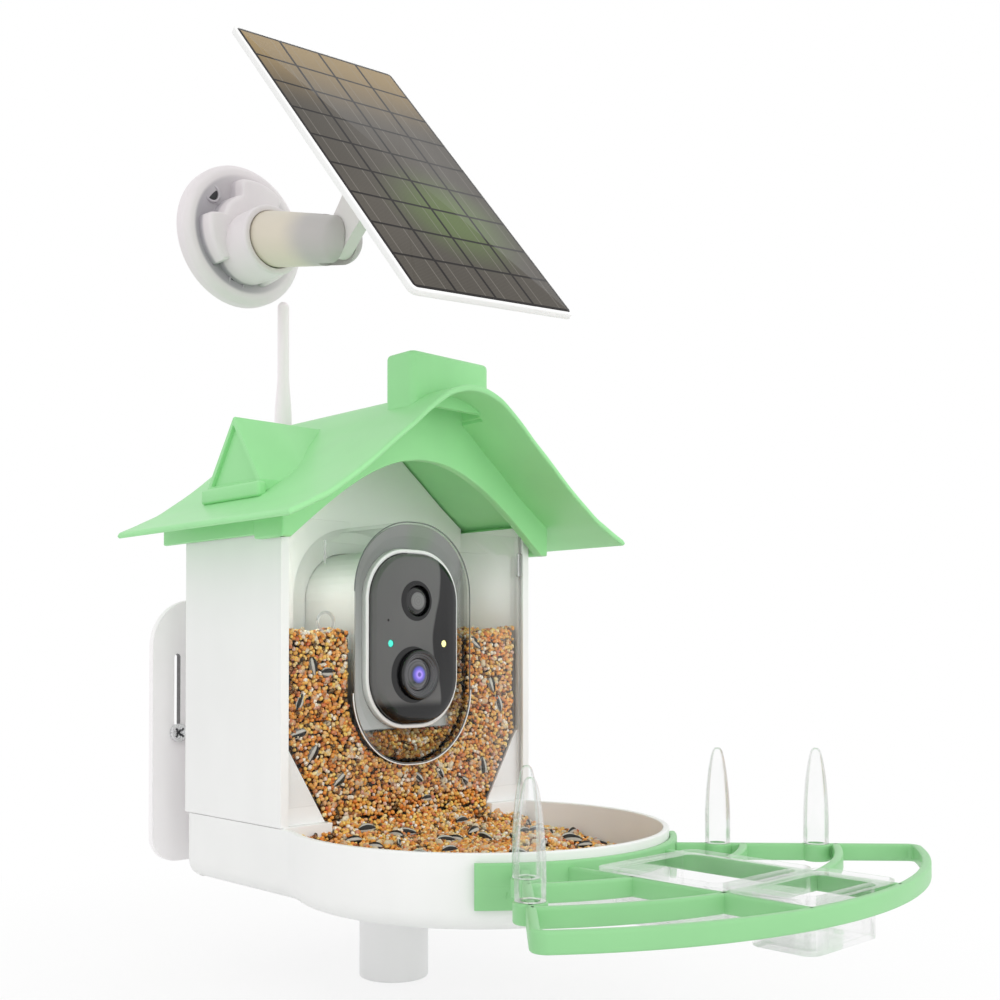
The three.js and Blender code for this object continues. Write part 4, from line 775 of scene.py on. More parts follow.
def lens_barrel():
    """Black barrel with fine turned rings, greyer towards the glass."""
    finish = Finish("lens barrel")
    out = finish.radius_from(0, LENS_UP)
    rings = (out * 5.2).wave() * 0.5 + 0.5
    near = out.band(12.4, 11.0)
    base = finish.tint(near * (0.45 + rings * 0.55), linear(20, 20, 22), linear(92, 92, 96))
    return finish.surface(
        Base_Color=base, Roughness=0.22 + rings * 0.12, Normal=finish.bump(rings, 0.05), Coat_Weight=0.3,
        Coat_Roughness=0.08)


def motion_lens():
    """Black infra-red dome with a grey middle and faint rings."""
    finish = Finish("motion lens")
    out = finish.radius_from(0, SENSOR_UP)
    rings = (out * 4.4).wave() * 0.5 + 0.5
    middle = out.band(4.9, 4.2)
    base = finish.tint(middle, finish.tint(rings * 0.35, linear(16, 16, 17), linear(40, 40, 42)),
                       linear(112, 112, 112))
    return finish.surface(
        Base_Color=base, Roughness=0.2 + rings * 0.08, Normal=finish.bump(rings, 0.04), Coat_Weight=0.5,
        Coat_Roughness=0.05)


def small_light(name, tone, strength):
    """A small lit lamp under a diffusing lens, brighter in its grain."""
    finish = Finish(name)
    glow = finish.noise(900, 1, 0.5)
    return finish.surface(
        Base_Color=finish.tint(glow, tone, shade_of(tone, 0.8)), Roughness=0.25,
        Emission_Color=tone, Emission_Strength=strength)


def grain_skin():
    """Husked millet: each grain its own tone from pale gold to orange and brown, a few dark or cream."""
    finish = Finish("millet")
    tone = finish.attribute("tone")
    gold = colours().millet
    base = finish.ramp(tone, [
        (0.0, linear(30, 16, 8)), (0.07, linear(120, 56, 16)), (0.14, linear(232, 126, 26)), (0.3, gold),
        (0.46, linear(255, 222, 116)), (0.6, linear(252, 154, 36)), (0.74, linear(255, 242, 180)),
        (0.86, linear(206, 78, 24)), (0.93, linear(255, 252, 240))])
    speck = finish.noise(1600, 1, 0.5)
    return finish.surface(
        Base_Color=finish.tint(speck.band(0.2, 0.6), shade_of((0.8, 0.5, 0.2), 0.7), base),
        Roughness=0.38 + speck * 0.2, Normal=finish.bump(speck, 0.08))


def seed_bed():
    """The mass of grain behind the loose ones: round cells with painted shade in the gaps between them."""
    finish = Finish("seed bed")
    cells_to_metre = 470.0
    spot = {"Vector": finish.place(), "Scale": cells_to_metre}
    cells, hue = (finish.node("ShaderNodeTexVoronoi", None, spot, out=wanted) for wanted in ("Distance", "Color"))
    base = finish.ramp(finish.axes(hue)[0], [
        (0.0, linear(60, 32, 12)), (0.35, linear(150, 82, 26)), (0.6, linear(206, 130, 46)),
        (0.9, linear(240, 186, 96))])
    # Painted shade: the gaps between the cells are dark.
    gap = cells.band(0.38, 0.62)
    return finish.surface(
        Base_Color=finish.tint(gap, base, linear(26, 17, 10)), Roughness=0.7,
        Normal=finish.bump(1 - cells, 0.6))


def striped_husk():
    """Sunflower husk: black with pale stripes along it, from the piece's own pattern map."""
    finish = Finish("striped husk")
    spot = finish.node("ShaderNodeTexCoord", out="UV")
    round_it, along, _ = finish.axes(spot)
    streak = finish.noise(60, 2, 0.5, vector=spot, stretch=(6, 0.6, 1))
    stripes = ((round_it * (TAU * 4)).wave() + streak * 0.9 - 0.45).band(0.1, 0.5)
    ends = abs(along - 0.5).band(0.5, 0.42)
    return finish.surface(
        Base_Color=finish.tint(stripes * ends, linear(30, 29, 29), linear(196, 194, 186)),
        Roughness=0.45 + streak * 0.2, Normal=finish.bump(stripes, 0.12))


def kernel_skin():
    """Hulled pieces: cream, white or orange by the piece's own tone."""
    finish = Finish("kernels")
    tone = finish.attribute("tone")
    speck = finish.noise(700, 2, 0.55)
    base = finish.ramp(tone, [(0.0, linear(240, 232, 210)), (0.4, linear(226, 212, 180)),
                              (0.62, linear(232, 150, 66)), (0.85, linear(214, 106, 44)), (1.0, linear(44, 36, 30))])
    return finish.surface(
        Base_Color=finish.tint(speck.band(0.3, 0.75), shade_of((0.75, 0.62, 0.42), 0.8), base),
        Roughness=0.5 + speck * 0.15, Normal=finish.bump(speck, 0.15))


def solar_cells():
    """Cells under glass: nine rows of four behind dark lines, fine fingers across, a painted warm reflection over the
    last rows and a painted green reflection.

    The pattern map runs in millimetres from the cells' lower left corner.
    """
    finish = Finish("solar cells")
    across, along, _ = finish.axes(finish.node("ShaderNodeTexCoord", out="UV"))
    line, soft, finger_apart = millimetres(sizes().cell_gap), 0.25, 1.1
    half_across, half_along = CELLS_ACROSS / 2 * CELL_X, CELLS_ALONG / 2 * CELL_Y
    patch_x, patch_y = 60, 62
    x = abs((across / CELL_X).part() - 0.5) * CELL_X
    y = abs((along / CELL_Y).part() - 0.5) * CELL_Y
    lines = x.band(CELL_X / 2 - line / 2 - soft, CELL_X / 2 - line / 2).most(
        y.band(CELL_Y / 2 - line / 2 - soft, CELL_Y / 2 - line / 2))
    margin = abs(across - half_across).band(half_across - 0.3, half_across + 0.2).most(
        abs(along - half_along).band(half_along - 0.3, half_along + 0.2))
    fingers = ((along * (TAU / finger_apart)).wave() * 0.5 + 0.5).band(0.75, 1.0)
    buses = (abs((across / CELL_X * 2).part() - 0.5) * CELL_X / 2).band(0.45, 0.2)
    drift = finish.noise(11, 2, 0.5)
    # Painted reflections: a warm sheen over the last rows and a green patch.
    warm = along.band(130, 205) * 0.75
    patch = ((across - patch_x) * (across - patch_x) + (along - patch_y) * (along - patch_y)).root().band(46, 8) * 0.34
    cell = finish.tint(drift.band(0.3, 0.7), shade_of(colours().cells, 0.8), colours().cells)
    cell = finish.tint(warm, cell, linear(176, 148, 96))
    cell = finish.tint(patch, cell, linear(112, 150, 62))
    cell = finish.tint((fingers * 0.16 + buses * 0.3).clamped(), cell, linear(150, 146, 138))
    return finish.surface(
        Base_Color=finish.tint(lines.most(margin), cell, linear(34, 31, 30)),
        Roughness=0.3 + drift * 0.08, Specular_IOR_Level=0.22, IOR=1.4)


def circuit_resin():
    """Green resist over copper: tracks a little lighter than the ground between them."""
    finish = Finish("circuit board")
    x, _, z = finish.axes()
    tracks = ((x * 1900).wave() * (z * 1300).wave()).band(0.1, 0.25)
    return finish.surface(
        Base_Color=finish.tint(tracks, linear(24, 84, 50), linear(44, 118, 72)), Roughness=0.45 - tracks * 0.1,
        Normal=finish.bump(tracks, 0.05))


FINISHES = {}


def finish_named(name):
    """The material of one finish of the feeder, made when it is first asked for."""
    if name not in FINISHES:
        FINISHES[name] = MAKERS[name]()
    return FINISHES[name]


MAKERS = {
    "white": lambda: moulded_plastic("white plastic", colours().shell, 0.42, 0.02, 0, 0.965),
    "plate white": plate_plastic,
    "solar white": lambda: moulded_plastic("solar mount plastic", linear(226, 222, 220), 0.42, 0.02, 0, 0.94),
    "solar base": solar_base_plastic,
    # Painted light: the antenna's white leans pink against the green light that the roof bounces onto it.
    "antenna white": lambda: moulded_plastic("antenna plastic", linear(252, 243, 248), 0.4, 0.02, 0, 0.97),
    "arm white": arm_plastic,
    "flare": flare_plastic,
    "green": lambda: moulded_plastic("green plastic", colours().roof, 0.44, 0.03, 0.1),
    # Painted shade: the perch frame is the roof's green darkened to 0.8.
    "shaded perch green": lambda: moulded_plastic("perch plastic", shade_of(colours().roof, 0.8), 0.44, 0.03, 0.1),
    "camera body": lambda: moulded_plastic("camera body", colours().camera_body, 0.45, 0.02, 0.1),
    "clear edge": lambda: clear_plastic("clear mark", shade_of(colours().clear_tint, 0.92), 0.6, 0.5, 0.1),
    "spike": lambda: clear_plastic("clear spike", colours().clear_tint, 0.9, 0.04, 0.03, 0.7, 0.5),
    "pane": lambda: clear_plastic("window plastic", colours().clear_tint, 0.86, 0.01, 0.05, 0.1, 0.2),
    "smoky": lambda: clear_plastic("tunnel plastic", colours().smoky_tint, 0.94, 0, 0.1, 0.04, 0.05),
    "chrome screw": chrome_screw,
    # Painted shade: the dark finish of the bead along the tunnel's rim.
    "tunnel edge shade": lambda: moulded_plastic("tunnel edge shade", linear(104, 106, 108), 0.35, 0.02, 0.2),
    # Painted light: the pole tube's white is brighter than the house's, to make up for the shade that the tray casts on
    # it.
    "white lifted by painted light": lambda: moulded_plastic("tube plastic", linear(254, 254, 254), 0.42, 0.02, 0, 0.97),
    "cup": lambda: clear_plastic("cup plastic", colours().clear_tint, 0.92, 0.03, 0.04, 0.5, 0.5),
    "camera face": camera_face,
    "dark": lambda: moulded_plastic("dark plastic", linear(52, 53, 56), 0.5, 0.04),
    "rubber": lambda: moulded_plastic("black rubber", linear(36, 36, 37), 0.75, 0.06),
    "steel": lambda: plain_metal("screw steel", linear(196, 198, 200)),
    "status light": lambda: small_light("status light", colours().status, 1.0),
    "night light": lambda: small_light("night light", colours().night, 0.9),
    "circuit": circuit_resin,
    "battery": lambda: moulded_plastic("battery wrap", linear(64, 128, 196), 0.4, 0.02),
    "seed bed": seed_bed,
    "millet": grain_skin,
    "husk": striped_husk,
    "kernels": kernel_skin,
    "lens glass": lens_glass,
    "lens barrel": lens_barrel,
    "motion lens": motion_lens,
    "solar cells": solar_cells,
}


# Lines that several pieces share

def smooth_line(points, steps):
    """A line through points: on each stretch a cubic whose slope at a point is half its neighbours' difference."""
    padded = np.concatenate([points[:1], points, points[-1:]])
    before, a, b, after = padded[:-3], padded[1:-2], padded[2:-1], padded[3:]
    leave, arrive = (b - before) / 2, (after - a) / 2
    t = (np.arange(steps) / steps)[None, :, None]
    curve = ((2 * a - 2 * b + leave + arrive)[:, None] * t ** 3
             + (-3 * a + 3 * b - 2 * leave - arrive)[:, None] * t ** 2 + leave[:, None] * t + a[:, None])
    return np.concatenate([curve.reshape(-1, points.shape[1]), points[-1:]])


def roof_top(x):
    """Height of the roof's top face over x, read off the smooth slope line."""
    line = smooth_line(SLOPE, 24)
    return ROOF["eave"] + ROOF["rise"] * np.interp(np.abs(x) / ROOF["half"], line[:, 0], line[:, 1])


def arc_about_tray(radius, start, end, count):
    """Points of a circle about the tray's middle, from one angle to another, counted from straight ahead."""
    angle = np.radians(np.linspace(start, end, count))
    return np.stack([radius * np.sin(angle), TRAY_MIDDLE[1] - radius * np.cos(angle)], -1)


def arm_meets(radius):
    """How far round from straight ahead the frame's arm meets a circle about the tray's middle, in degrees."""
    away = ARM_ROOT - TRAY_MIDDLE
    along = -away @ ARM_WAY + math.sqrt((away @ ARM_WAY) ** 2 - away @ away + radius ** 2)
    meet = away + ARM_WAY * along
    return math.degrees(math.atan2(meet[0], -meet[1]))


def perch_rim():
    """The frame's arms and outer arc in one line, with a round corner where they meet."""
    round_off, radius = PERCH["corner"], PERCH["rim"]
    inward = np.array([ARM_WAY[1], -ARM_WAY[0]])
    away = ARM_ROOT + inward * round_off - TRAY_MIDDLE
    along = -away @ ARM_WAY + math.sqrt((away @ ARM_WAY) ** 2 - away @ away + (radius - round_off) ** 2)
    middle = away + ARM_WAY * along + TRAY_MIDDLE
    start = math.atan2(-inward[1], -inward[0])
    end = math.atan2(middle[1] - TRAY_MIDDLE[1], middle[0] - TRAY_MIDDLE[0])
    turn = np.linspace(start, end, 12)
    corner = middle + round_off * np.stack([np.cos(turn), np.sin(turn)], -1)
    turn = np.linspace(end, -math.pi / 2, 40)[1:]
    arc = TRAY_MIDDLE + radius * np.stack([np.cos(turn), np.sin(turn)], -1)
    right = np.concatenate([[ARM_ROOT + ARM_WAY * 1.5], corner, arc])
    left = (right * [-1, 1])[-2::-1]
    return np.concatenate([right, left])


def tray_outline(inset=0.0):
    """The tray seen from above: a bowed front and straight sides, each point the mean of its five neighbours."""
    half, radius, rear = TRAY["half"] - inset, TRAY["radius"] - inset, TRAY["rear"] - inset
    angle = math.acos(half / radius)
    turn = np.linspace(math.pi - angle, 2 * math.pi + angle, 160)
    arc = TRAY_MIDDLE + radius * np.stack([np.cos(turn), np.sin(turn)], -1)
    line = np.concatenate([arc, [[half, rear], [-half, rear]], arc[:1]])
    run = np.concatenate([[0], np.cumsum(np.linalg.norm(np.diff(line, axis=0), axis=1))])
    even = np.linspace(0, run[-1], 288, endpoint=False)
    points = np.stack([np.interp(even, run, line[:, 0]), np.interp(even, run, line[:, 1])], -1)
    return sum(np.roll(points, shift, 0) for shift in range(-2, 3)) / 5


def lean_of_arm():
    """The turning matrices of the solar arm and of the panel at its end."""
    def about_x(degrees):
        """The matrix of a turn about the x axis."""
        c, s = math.cos(math.radians(degrees)), math.sin(math.radians(degrees))
        return np.array([[1, 0, 0], [0, c, -s], [0, s, c]])

    c, s = math.cos(math.radians(SOLAR_ARM["side"])), math.sin(math.radians(SOLAR_ARM["side"]))
    arm = about_x(SOLAR_ARM["down"]) @ np.array([[c, 0, s], [0, 1, 0], [-s, 0, c]])
    return arm, arm @ about_x(SOLAR_ARM["panel"])


def on_panel(part):
    """A part drawn in the panel's own frame, moved to the panel's place at the arm's end."""
    arm, panel = lean_of_arm()
    return moved(part, panel, SOLAR_ARM["start"] + arm @ np.array([0, -SOLAR_ARM["length"], 0]))


# Roof

def roof_shell():
    """The ogee sheet: z = slope(x), with rounded rims, open under the flue and at the antenna's notch."""
    edge = millimetres(sizes().roof_edge)
    half, front, rear = ROOF["half"], ROOF["front"], ROOF["rear"]
    xs = places_with_edges(-half, half, 116, edge, -FLUE["half"], FLUE["half"], NOTCH["left"], NOTCH["right"])
    ys = places_with_edges(front, rear, 40, edge, FLUE["front"], FLUE["rear"], NOTCH["front"])
    x, y = np.meshgrid(xs, ys)
    thick = ROOF["shell"] / 2 * rim(half - np.abs(x), edge) * rim(y - front, edge) * rim(rear - y, edge)
    middle = np.stack([x, y, roof_top(x) - ROOF["shell"] / 2], -1)
    cell_x, cell_y = (xs[:-1] + xs[1:]) / 2, ((ys[:-1] + ys[1:]) / 2)[:, None]
    flue = (np.abs(cell_x) < FLUE["half"]) & (cell_y > FLUE["front"]) & (cell_y < FLUE["rear"])
    notch = (cell_x > NOTCH["left"]) & (cell_x < NOTCH["right"]) & (cell_y > NOTCH["front"])
    return slab(middle, thick, (0, 0, 1), ~(flue | notch))


def leg_foot():
    """Height of the lower end of the roof's corner blocks and of the arch between them."""
    return roof_top(LEGS["outer"]) - LEGS["drop"]


def roof_fascia():
    """The plate under the front: from an arch, foot + rise cos(pi x / 2 half), up to the roof's underside."""
    legs, inner, below_ridge, thick = LEGS["outer"] - 0.1, LEGS["inner"], 34, 5.5
    foot = leg_foot()
    rise = ROOF["eave"] + ROOF["rise"] - below_ridge - foot
    xs = places_with_edges(-legs, legs, 90, 1.0, -inner, inner)
    low = foot + rise * np.cos(math.pi / 2 * np.clip(np.abs(xs) / inner, 0, 1))
    share = np.concatenate([[0, 0.004, 0.012, 0.03], np.linspace(0.08, 1, 8)])[:, None]
    high = roof_top(xs) - ROOF["shell"] / 2
    z = low + share * (high - low)
    x = np.broadcast_to(xs, z.shape)
    half = thick / 2 * rim(share * (high - low) + 0.25, 0.9) * rim(legs - np.abs(x) + 0.3, 0.9)
    return slab(np.stack([x, np.full(z.shape, -6.75), z], -1), half, (0, -1, 0))


def roof_legs():
    """A block at each front corner and a rail along each side, which sit over the house's walls."""
    parts = []
    foot = leg_foot()
    for side in (-1, 1):
        across = sorted((side * LEGS["inner"], side * LEGS["outer"]))
        parts.append(soft_box(across, (-8.4, 15.0), (foot, foot + 17.0), 1.2))
        across = sorted((side * 86.7, side * 89.7))
        parts.append(soft_box(across, (-7.0, 106.3), (foot + 2.5, foot + 18.5), 0.8))
    return gathered(*parts)


def chimney():
    """A hollow block with soft corners, its foot and its flue both cut off along the roof."""
    sunk, top, wall = 200, 237, 3.4
    outline = rounded_rect(54.4, 22.2, 4.2, (0, (FLUE["front"] + FLUE["rear"]) / 2), 7)
    profile = eased([(0, sunk), (0, top), (-wall, top), (-wall, sunk)], [3.0, 0.3], 8)
    points, faces = carried(outline, profile, loop=True)
    foot = roof_top(points[:, 0]) - ROOF["shell"] / 2
    points[:, 2] = np.where(points[:, 2] < sunk + 1, foot, points[:, 2])
    return points, faces


def dormer():
    """A tent that runs into the roof, its gable sunk by a triangle: rows of outlines from rear to front.

    The foot flares by 9 exp(-((x + 59) / 12) ** 2) mm, so that the valley bows out below the ridge.
    """
    half_wide, ridge, eave, middle, front, sunk = 24.5, 205, 170.5, 41.5, -87, 2.2
    gable = ridge - eave

    def along_corners(corners, ease):
        """A closed outline through corners, each rounded from its own reach."""
        corners = np.asarray(corners, float)
        line = np.concatenate([corners[-1:], corners, corners[:1]])
        return eased(line, ease, 5)[1:-1]

    def tent(x, inset=0.0):
        """The outline at x: up from below the roof to the knee, then straight to the ridge, drawn in by an inset."""
        slope = inset * math.hypot(half_wide, gable) / half_wide
        low = float(roof_top(x)) - sunk
        knee = max(eave - inset * 0.5, low + 0.6)
        tall = ridge - slope - knee
        half = (half_wide - inset + 9 * math.exp(-((x + 59) / 12) ** 2)) * tall / (gable - slope)
        ease = [0.2, 0.2, 0.25, min(1.0, 0.2 * tall), 0.25]
        return along_corners([(-half, low), (half, low), (half, knee), (0, ridge - slope), (-half, knee)], ease), x

    def panel(grow, x):
        """The outline of the sunk triangle at x, a little larger or smaller by grow."""
        half, foot, top = 20.2 + grow, 171.6 - grow * 0.6, 200.2 + grow * 1.6
        return along_corners([(-half, foot - 1), (half, foot - 1), (half - 0.6, foot), (0, top),
                              (-half + 0.6, foot)], [0.5] * 5), x

    rows = [tent(x) for x in (-31, -35, -40, -46, -52, -58, -64, -70, -76, -81, -85.8)]
    rows += [tent(front + 0.3, 0.3), tent(front, 1.1)]
    rows += [panel(0.4, front), panel(0, front + 0.3), panel(-0.3, front + 2.0)]
    grid = np.stack([
        np.column_stack([np.full(len(ring), x), middle - ring[:, 0], ring[:, 1]]) for ring, x in rows])
    return capped(grid)


def moulded_roof():
    """The whole roof: sheet, fascia, legs, chimney and dormer with the plinth under its gable."""
    plinth = soft_box((-89.6, -84.0), (15, 68), (161.6, 169.4), 1.5)
    return gathered(roof_shell(), roof_fascia(), roof_legs(), chimney(), dormer(), plinth)


# House, window and camera

def tray_bowl():
    """The tray: its outline carried up round a quarter ellipse, over the lip and down inside to the floor."""
    edge = millimetres(sizes().moulded_edge)
    bend, thick, lip, knee = 8, 3, -0.3, -24
    angle = np.linspace(0, math.pi / 2, 8)
    bottom = np.stack([bend * np.sin(angle) - bend, knee - 1 - 9 * np.cos(angle)], -1)
    wall = eased([(0, knee), (0, lip), (-thick, lip), (-thick, knee)], [edge, edge], 4)
    inner = np.stack([-thick - bend * (1 - np.cos(angle)), knee - 7 * np.sin(angle)], -1)
    return carried(tray_outline(), np.concatenate([bottom, wall, inner[1:]]))


def pole_tube():
    """The pole socket: a tube with a bore of 32 mm under a flange, turned from its section."""
    edge = millimetres(sizes().moulded_edge)
    bore, tube, flange = 16, 18.5, 31
    end, under, top = -88.3, -37.3, -34.3
    section = [(bore, under), (bore, end), (tube, end), (tube, under), (flange, under), (flange, top)]
    return standing(turned(eased(section, [edge, edge, 1.5, edge], 4), 72), (0, 18, 0))


def cheeks():
    """White plates beside the chute, between the wall and the chute's slanting line, with a sill below each."""
    z = places_with_edges(-0.3, 40.2, 24, 0.6)[:, None]
    inner = np.interp(z, CHUTE_UP, (56.4, 80.6))
    share = np.array([0, 0.02, 0.2, 0.5, 0.8, 0.98, 1.0])
    x = inner + share * (83.2 - inner)
    parts = []
    for side in (-1, 1):
        middle = np.stack([side * x, np.full(x.shape, 5.0), np.broadcast_to(z, x.shape)], -1)
        parts.append(slab(middle[:, ::side], np.full(x.shape, 0.6), (0, -1, 0)))
        parts.append(soft_box(sorted((side * 55.4, side * 84.4)), (-0.9, 5.4), (-12, 0.15), 0.4))
    return gathered(*parts)


def flare_ring():
    """The smoky ring between tunnel and camera: outlines blended from the tunnel's to the camera's.

    At a share s of the way in, its front lies 1.9 + 3.4 s behind the house's front. It is 0.9 thick.
    """
    outer = rounded_rect(78.4, 125.4, 36.7, (0, TUNNEL["middle"]), 14)
    inner = rounded_rect(64.6, 95.6, 27.3, (0, CAMERA["middle"]), 14)
    share = np.array([0, 0.03, 0.3, 0.65, 0.97, 1.0])[:, None, None]
    flat = outer + share * (inner - outer)
    y = np.broadcast_to(1.9 + 3.4 * share, flat[..., :1].shape)
    front = np.concatenate([flat[..., :1], y, flat[..., 1:]], -1)
    back = (front + [0, 0.9, 0])[::-1]
    ring = np.concatenate([front, back])
    return gathered((ring, (grid_faces(*ring.shape[:2], True, True),)))


def tunnel_bead(grow, first, last):
    """A bead along the tunnel's outline, grown by a width, between two angles about the tunnel's middle."""
    line = rounded_rect(80.6 + 2 * grow, 127.6 + 2 * grow, 37.8 + grow, (0, TUNNEL["middle"]), 20)
    way = np.degrees(np.arctan2(line[:, 1] - TUNNEL["middle"], line[:, 0]))
    line, way = line[np.argsort(way)], np.sort(way)
    bead = bar(line[(way > first) & (way < last)], 0.6, 0, 0.55, 0.15)
    return facing_front(bead, (0, 1.45, 0))


def window_marks():
    """The window's moulded marks: a round boss and a clip at the left, and a clip at the right."""
    section = eased([(4.2, 0), (5.6, 0), (5.6, 1.0), (4.2, 1.0), (4.2, 0)], [0.2, 0.4, 0.4], 3)[:-1]
    return gathered(
        facing_front(turned(section, 40, loop=True), (-58.4, 1.7, 100)),
        soft_box((-59.8, -58.4), (0.7, 1.6), (129, 141), 0.4),
        soft_box((77.6, 81.2), (0.2, 1.6), (128, 141.5), 0.5))


def camera_ring():
    """The white ring round the camera: its section carried round the camera's oblong."""
    oblong = rounded_rect(CAMERA["width"], CAMERA["height"], CAMERA["corner"], (0, CAMERA["middle"]), 14)
    section = eased([(0, 4), (0, 8), (-2.3, 8), (-2.3, 0), (0, 0), (0, 4)], [0.9, 0.9, 0.2, 0.2], 4)[:-1]
    return facing_front(carried(oblong, section, loop=True), (0, 10.2, 0))


def lens_tube():
    """The lens barrel: a tube whose mouth narrows by three rounded steps, turned from its section."""
    section = eased([(13.2, 0), (13.2, 16.5), (11.5, 16.5), (11.1, 15.6), (10.2, 15.5), (9.9, 14.9), (9.1, 14.8),
                     (8.6, 13.8), (8.6, 0)], [1.0, 0.3, 0.2, 0.2, 0.2, 0.2, 0.3], 3)
    return facing_front(turned(section, 64, loop=True), (0, 12, LENS_UP))


def lens_dome():
    """The lens glass: an upright wall, then 1.46 (1 - s ** 2) higher at the share s of its radius."""
    radius, wall, rise = 8.2, 3.34, 1.46
    share = np.cos(np.linspace(0, math.pi / 2, 14)[:-1])
    bowl = np.stack([radius * share, wall + rise * (1 - share ** 2)], -1)
    return facing_front(turned(np.concatenate([[(radius, 0)], bowl]), 64), (0, 1.9, LENS_UP))


def round_top(radius, rise, foot, steps):
    """Section of a round top, to just short of its axis: radius cos a across and foot + rise sin a up."""
    angle = np.linspace(0, math.pi / 2, steps)[:-1]
    return np.stack([radius * np.cos(angle), foot + rise * np.sin(angle)], -1)


def knob(radius, rise, wall, steps, count):
    """An upright round wall with a round top on it."""
    return turned(np.concatenate([[(radius, 0)], round_top(radius, rise, wall, steps)]), count)


def antenna_rod():
    """The antenna: a thin foot, a straight rod that narrows, and a round tip, turned from its section."""
    foot = eased([(2.6, 116.3), (2.6, 123.3), (5, 123.3), (5, 225), (3.4, 243), (3.4, 286)], [0, 0.5, 6, 6], 6)
    return standing(turned(np.concatenate([foot, round_top(3.4, 3.4, 286.1, 8)]), 32), (-15, 101.3, 0))


# Perch frame

def perch_side(side, ease):
    """One side of the frame: hanging arc, two ribs, spoke, two spike bosses and peg, at side -1 or 1.

    At the spoke's x, an arc of radius r lies at y = middle - sqrt(r ** 2 - x ** 2).
    """
    gap, inner, middle = PERCH["gap"], PERCH["inner"], TRAY_MIDDLE[1]
    parts = [bar(arc_about_tray(inner, side * 33, side * 44.5, 12)[::side], 3.2, -24.0, -4.3, ease)]
    for radius in PERCH["ribs"]:
        line = radius - BAR / 2
        start = math.degrees(math.asin(gap / radius))
        parts.append(bar(arc_about_tray(line, side * start, side * arm_meets(line), 24), BAR,
                         BAR_FOOT, BAR_TOP, ease))
    rear, front = (middle - math.sqrt(radius ** 2 - gap ** 2) for radius in (inner, PERCH["rim"]))
    parts.append(bar([[side * gap, front], [side * gap, rear]], BAR, BAR_FOOT, BAR_TOP, ease))
    boss = turned(eased([(6.6, -10), (6.6, BAR_TOP), (3.9, BAR_TOP), (3.9, BAR_FOOT), (6.6, BAR_FOOT),
                         (6.6, -10)], [0.8, 0.5, 0.5, 0.8], 3)[:-1], 32, loop=True)
    parts += [standing(boss, (side * place[0], place[1], 0)) for place in SPIKES]
    wall = middle - math.sqrt(TRAY["radius"] ** 2 - PERCH["peg"] ** 2)
    peg = turned([(2.2, 0), (2.2, 4.6), (1.8, 5.0)], 16)
    to_the_rear = [[1, 0, 0], [0, 0, 1], [0, -1, 0]]
    parts.append(moved(peg, to_the_rear, (side * PERCH["peg"], wall - 3.4, -17.5)))
    return parts


def perch_frame():
    """The whole frame: rim, inner arc, front bar and both sides, drawn in a hair to stay in the CAD's box."""
    ease = millimetres(sizes().perch_edge)
    gap, front, drawn_in = PERCH["gap"], -217.4, [0.9997, 0.99999, 1]
    points, faces = gathered(
        bar(perch_rim(), BAR, BAR_FOOT, BAR_TOP, ease),
        bar(arc_about_tray(PERCH["inner"], -44.5, 44.5, 60), 3.4, BAR_FOOT, -4.0, ease),
        bar([[-gap, front], [gap, front]], BAR, BAR_FOOT, BAR_TOP, ease),
        *perch_side(-1, ease), *perch_side(1, ease))
    return points * drawn_in, faces


def spike():
    """A fruit spike: a smooth line through shares of its radius and height over a foot, turned."""
    radius, height, foot = 5.9, 46, -6.2
    shares = np.array([[1, 0], [1.01, 0.14], [1, 0.3], [0.93, 0.5], [0.78, 0.7], [0.58, 0.86], [0.4, 0.95],
                       [0.2, 0.985]])
    skin = smooth_line(shares, 5) * [radius, height] + [0, foot]
    return turned(np.concatenate([[(3.4, foot - 8), (3.6, foot)], skin]), 40)


# Solar unit

def solar_screws():
    """Places of the three screws in the wall base."""
    out, turns = 29, np.radians([138.7, 258.7, 18.7])
    return SOLAR + out * np.column_stack([np.cos(turns), np.zeros(3), np.sin(turns)])


def solar_base():
    """The wall base: a dished disc, a hub with three lobes, the arm's collar and three screw seats.

    The hub's radius is 20.5 + 8.5 t t (3 - 2 t) at the angle a, where t = (cos(3 (a - 78.7 degrees)) + 0.3) / 0.5
    is kept from 0 to 1. The lobes stand between the screws.
    """
    disc = turned(eased([(40, 0), (40, 5.8), (36.8, 9), (34, 9), (25, 6), (10, 6)], [1.5, 1.5, 1.2, 4], 5), 96)
    angle = np.arange(192) * TAU / 192
    share = np.clip((np.cos(3 * (angle - math.radians(78.7))) + 0.3) / 0.5, 0, 1)
    radius = 20.5 + 8.5 * share * share * (3 - 2 * share)
    rows = eased([(1.5, 4), (1.0, 9), (0, 18.5), (-5, 18.5)], [3, 3.0], 6)
    reach = radius + rows[:, :1]
    hub = capped(np.stack([reach * np.cos(angle), reach * np.sin(angle),
                           np.broadcast_to(rows[:, 1:], reach.shape)], -1))
    collar = turned(eased([(19.4, 1), (19.4, 37), (15.9, 37), (15.7, 22)], [2.0, 0.6], 5), 72)
    seat = turned(eased([(5.6, 6.0), (5.2, 8.2), (4.1, 8.2), (3.9, 5)], [0.5, 0.3], 3), 32)
    start = SOLAR_ARM["start"]
    return gathered(facing_front(disc, SOLAR), facing_front(hub, SOLAR),
                    facing_front(collar, (start[0], SOLAR[1], start[2])),
                    *(facing_front(seat, at) for at in solar_screws()))


def solar_base_well_shade():
    """Dark discs in the three screw seats: painted shade for the inside of their holes."""
    well = turned([(3.95, 5.2), (3.95, 7.0), (3.6, 7.2)], 28)
    return gathered(*(facing_front(well, at) for at in solar_screws()))


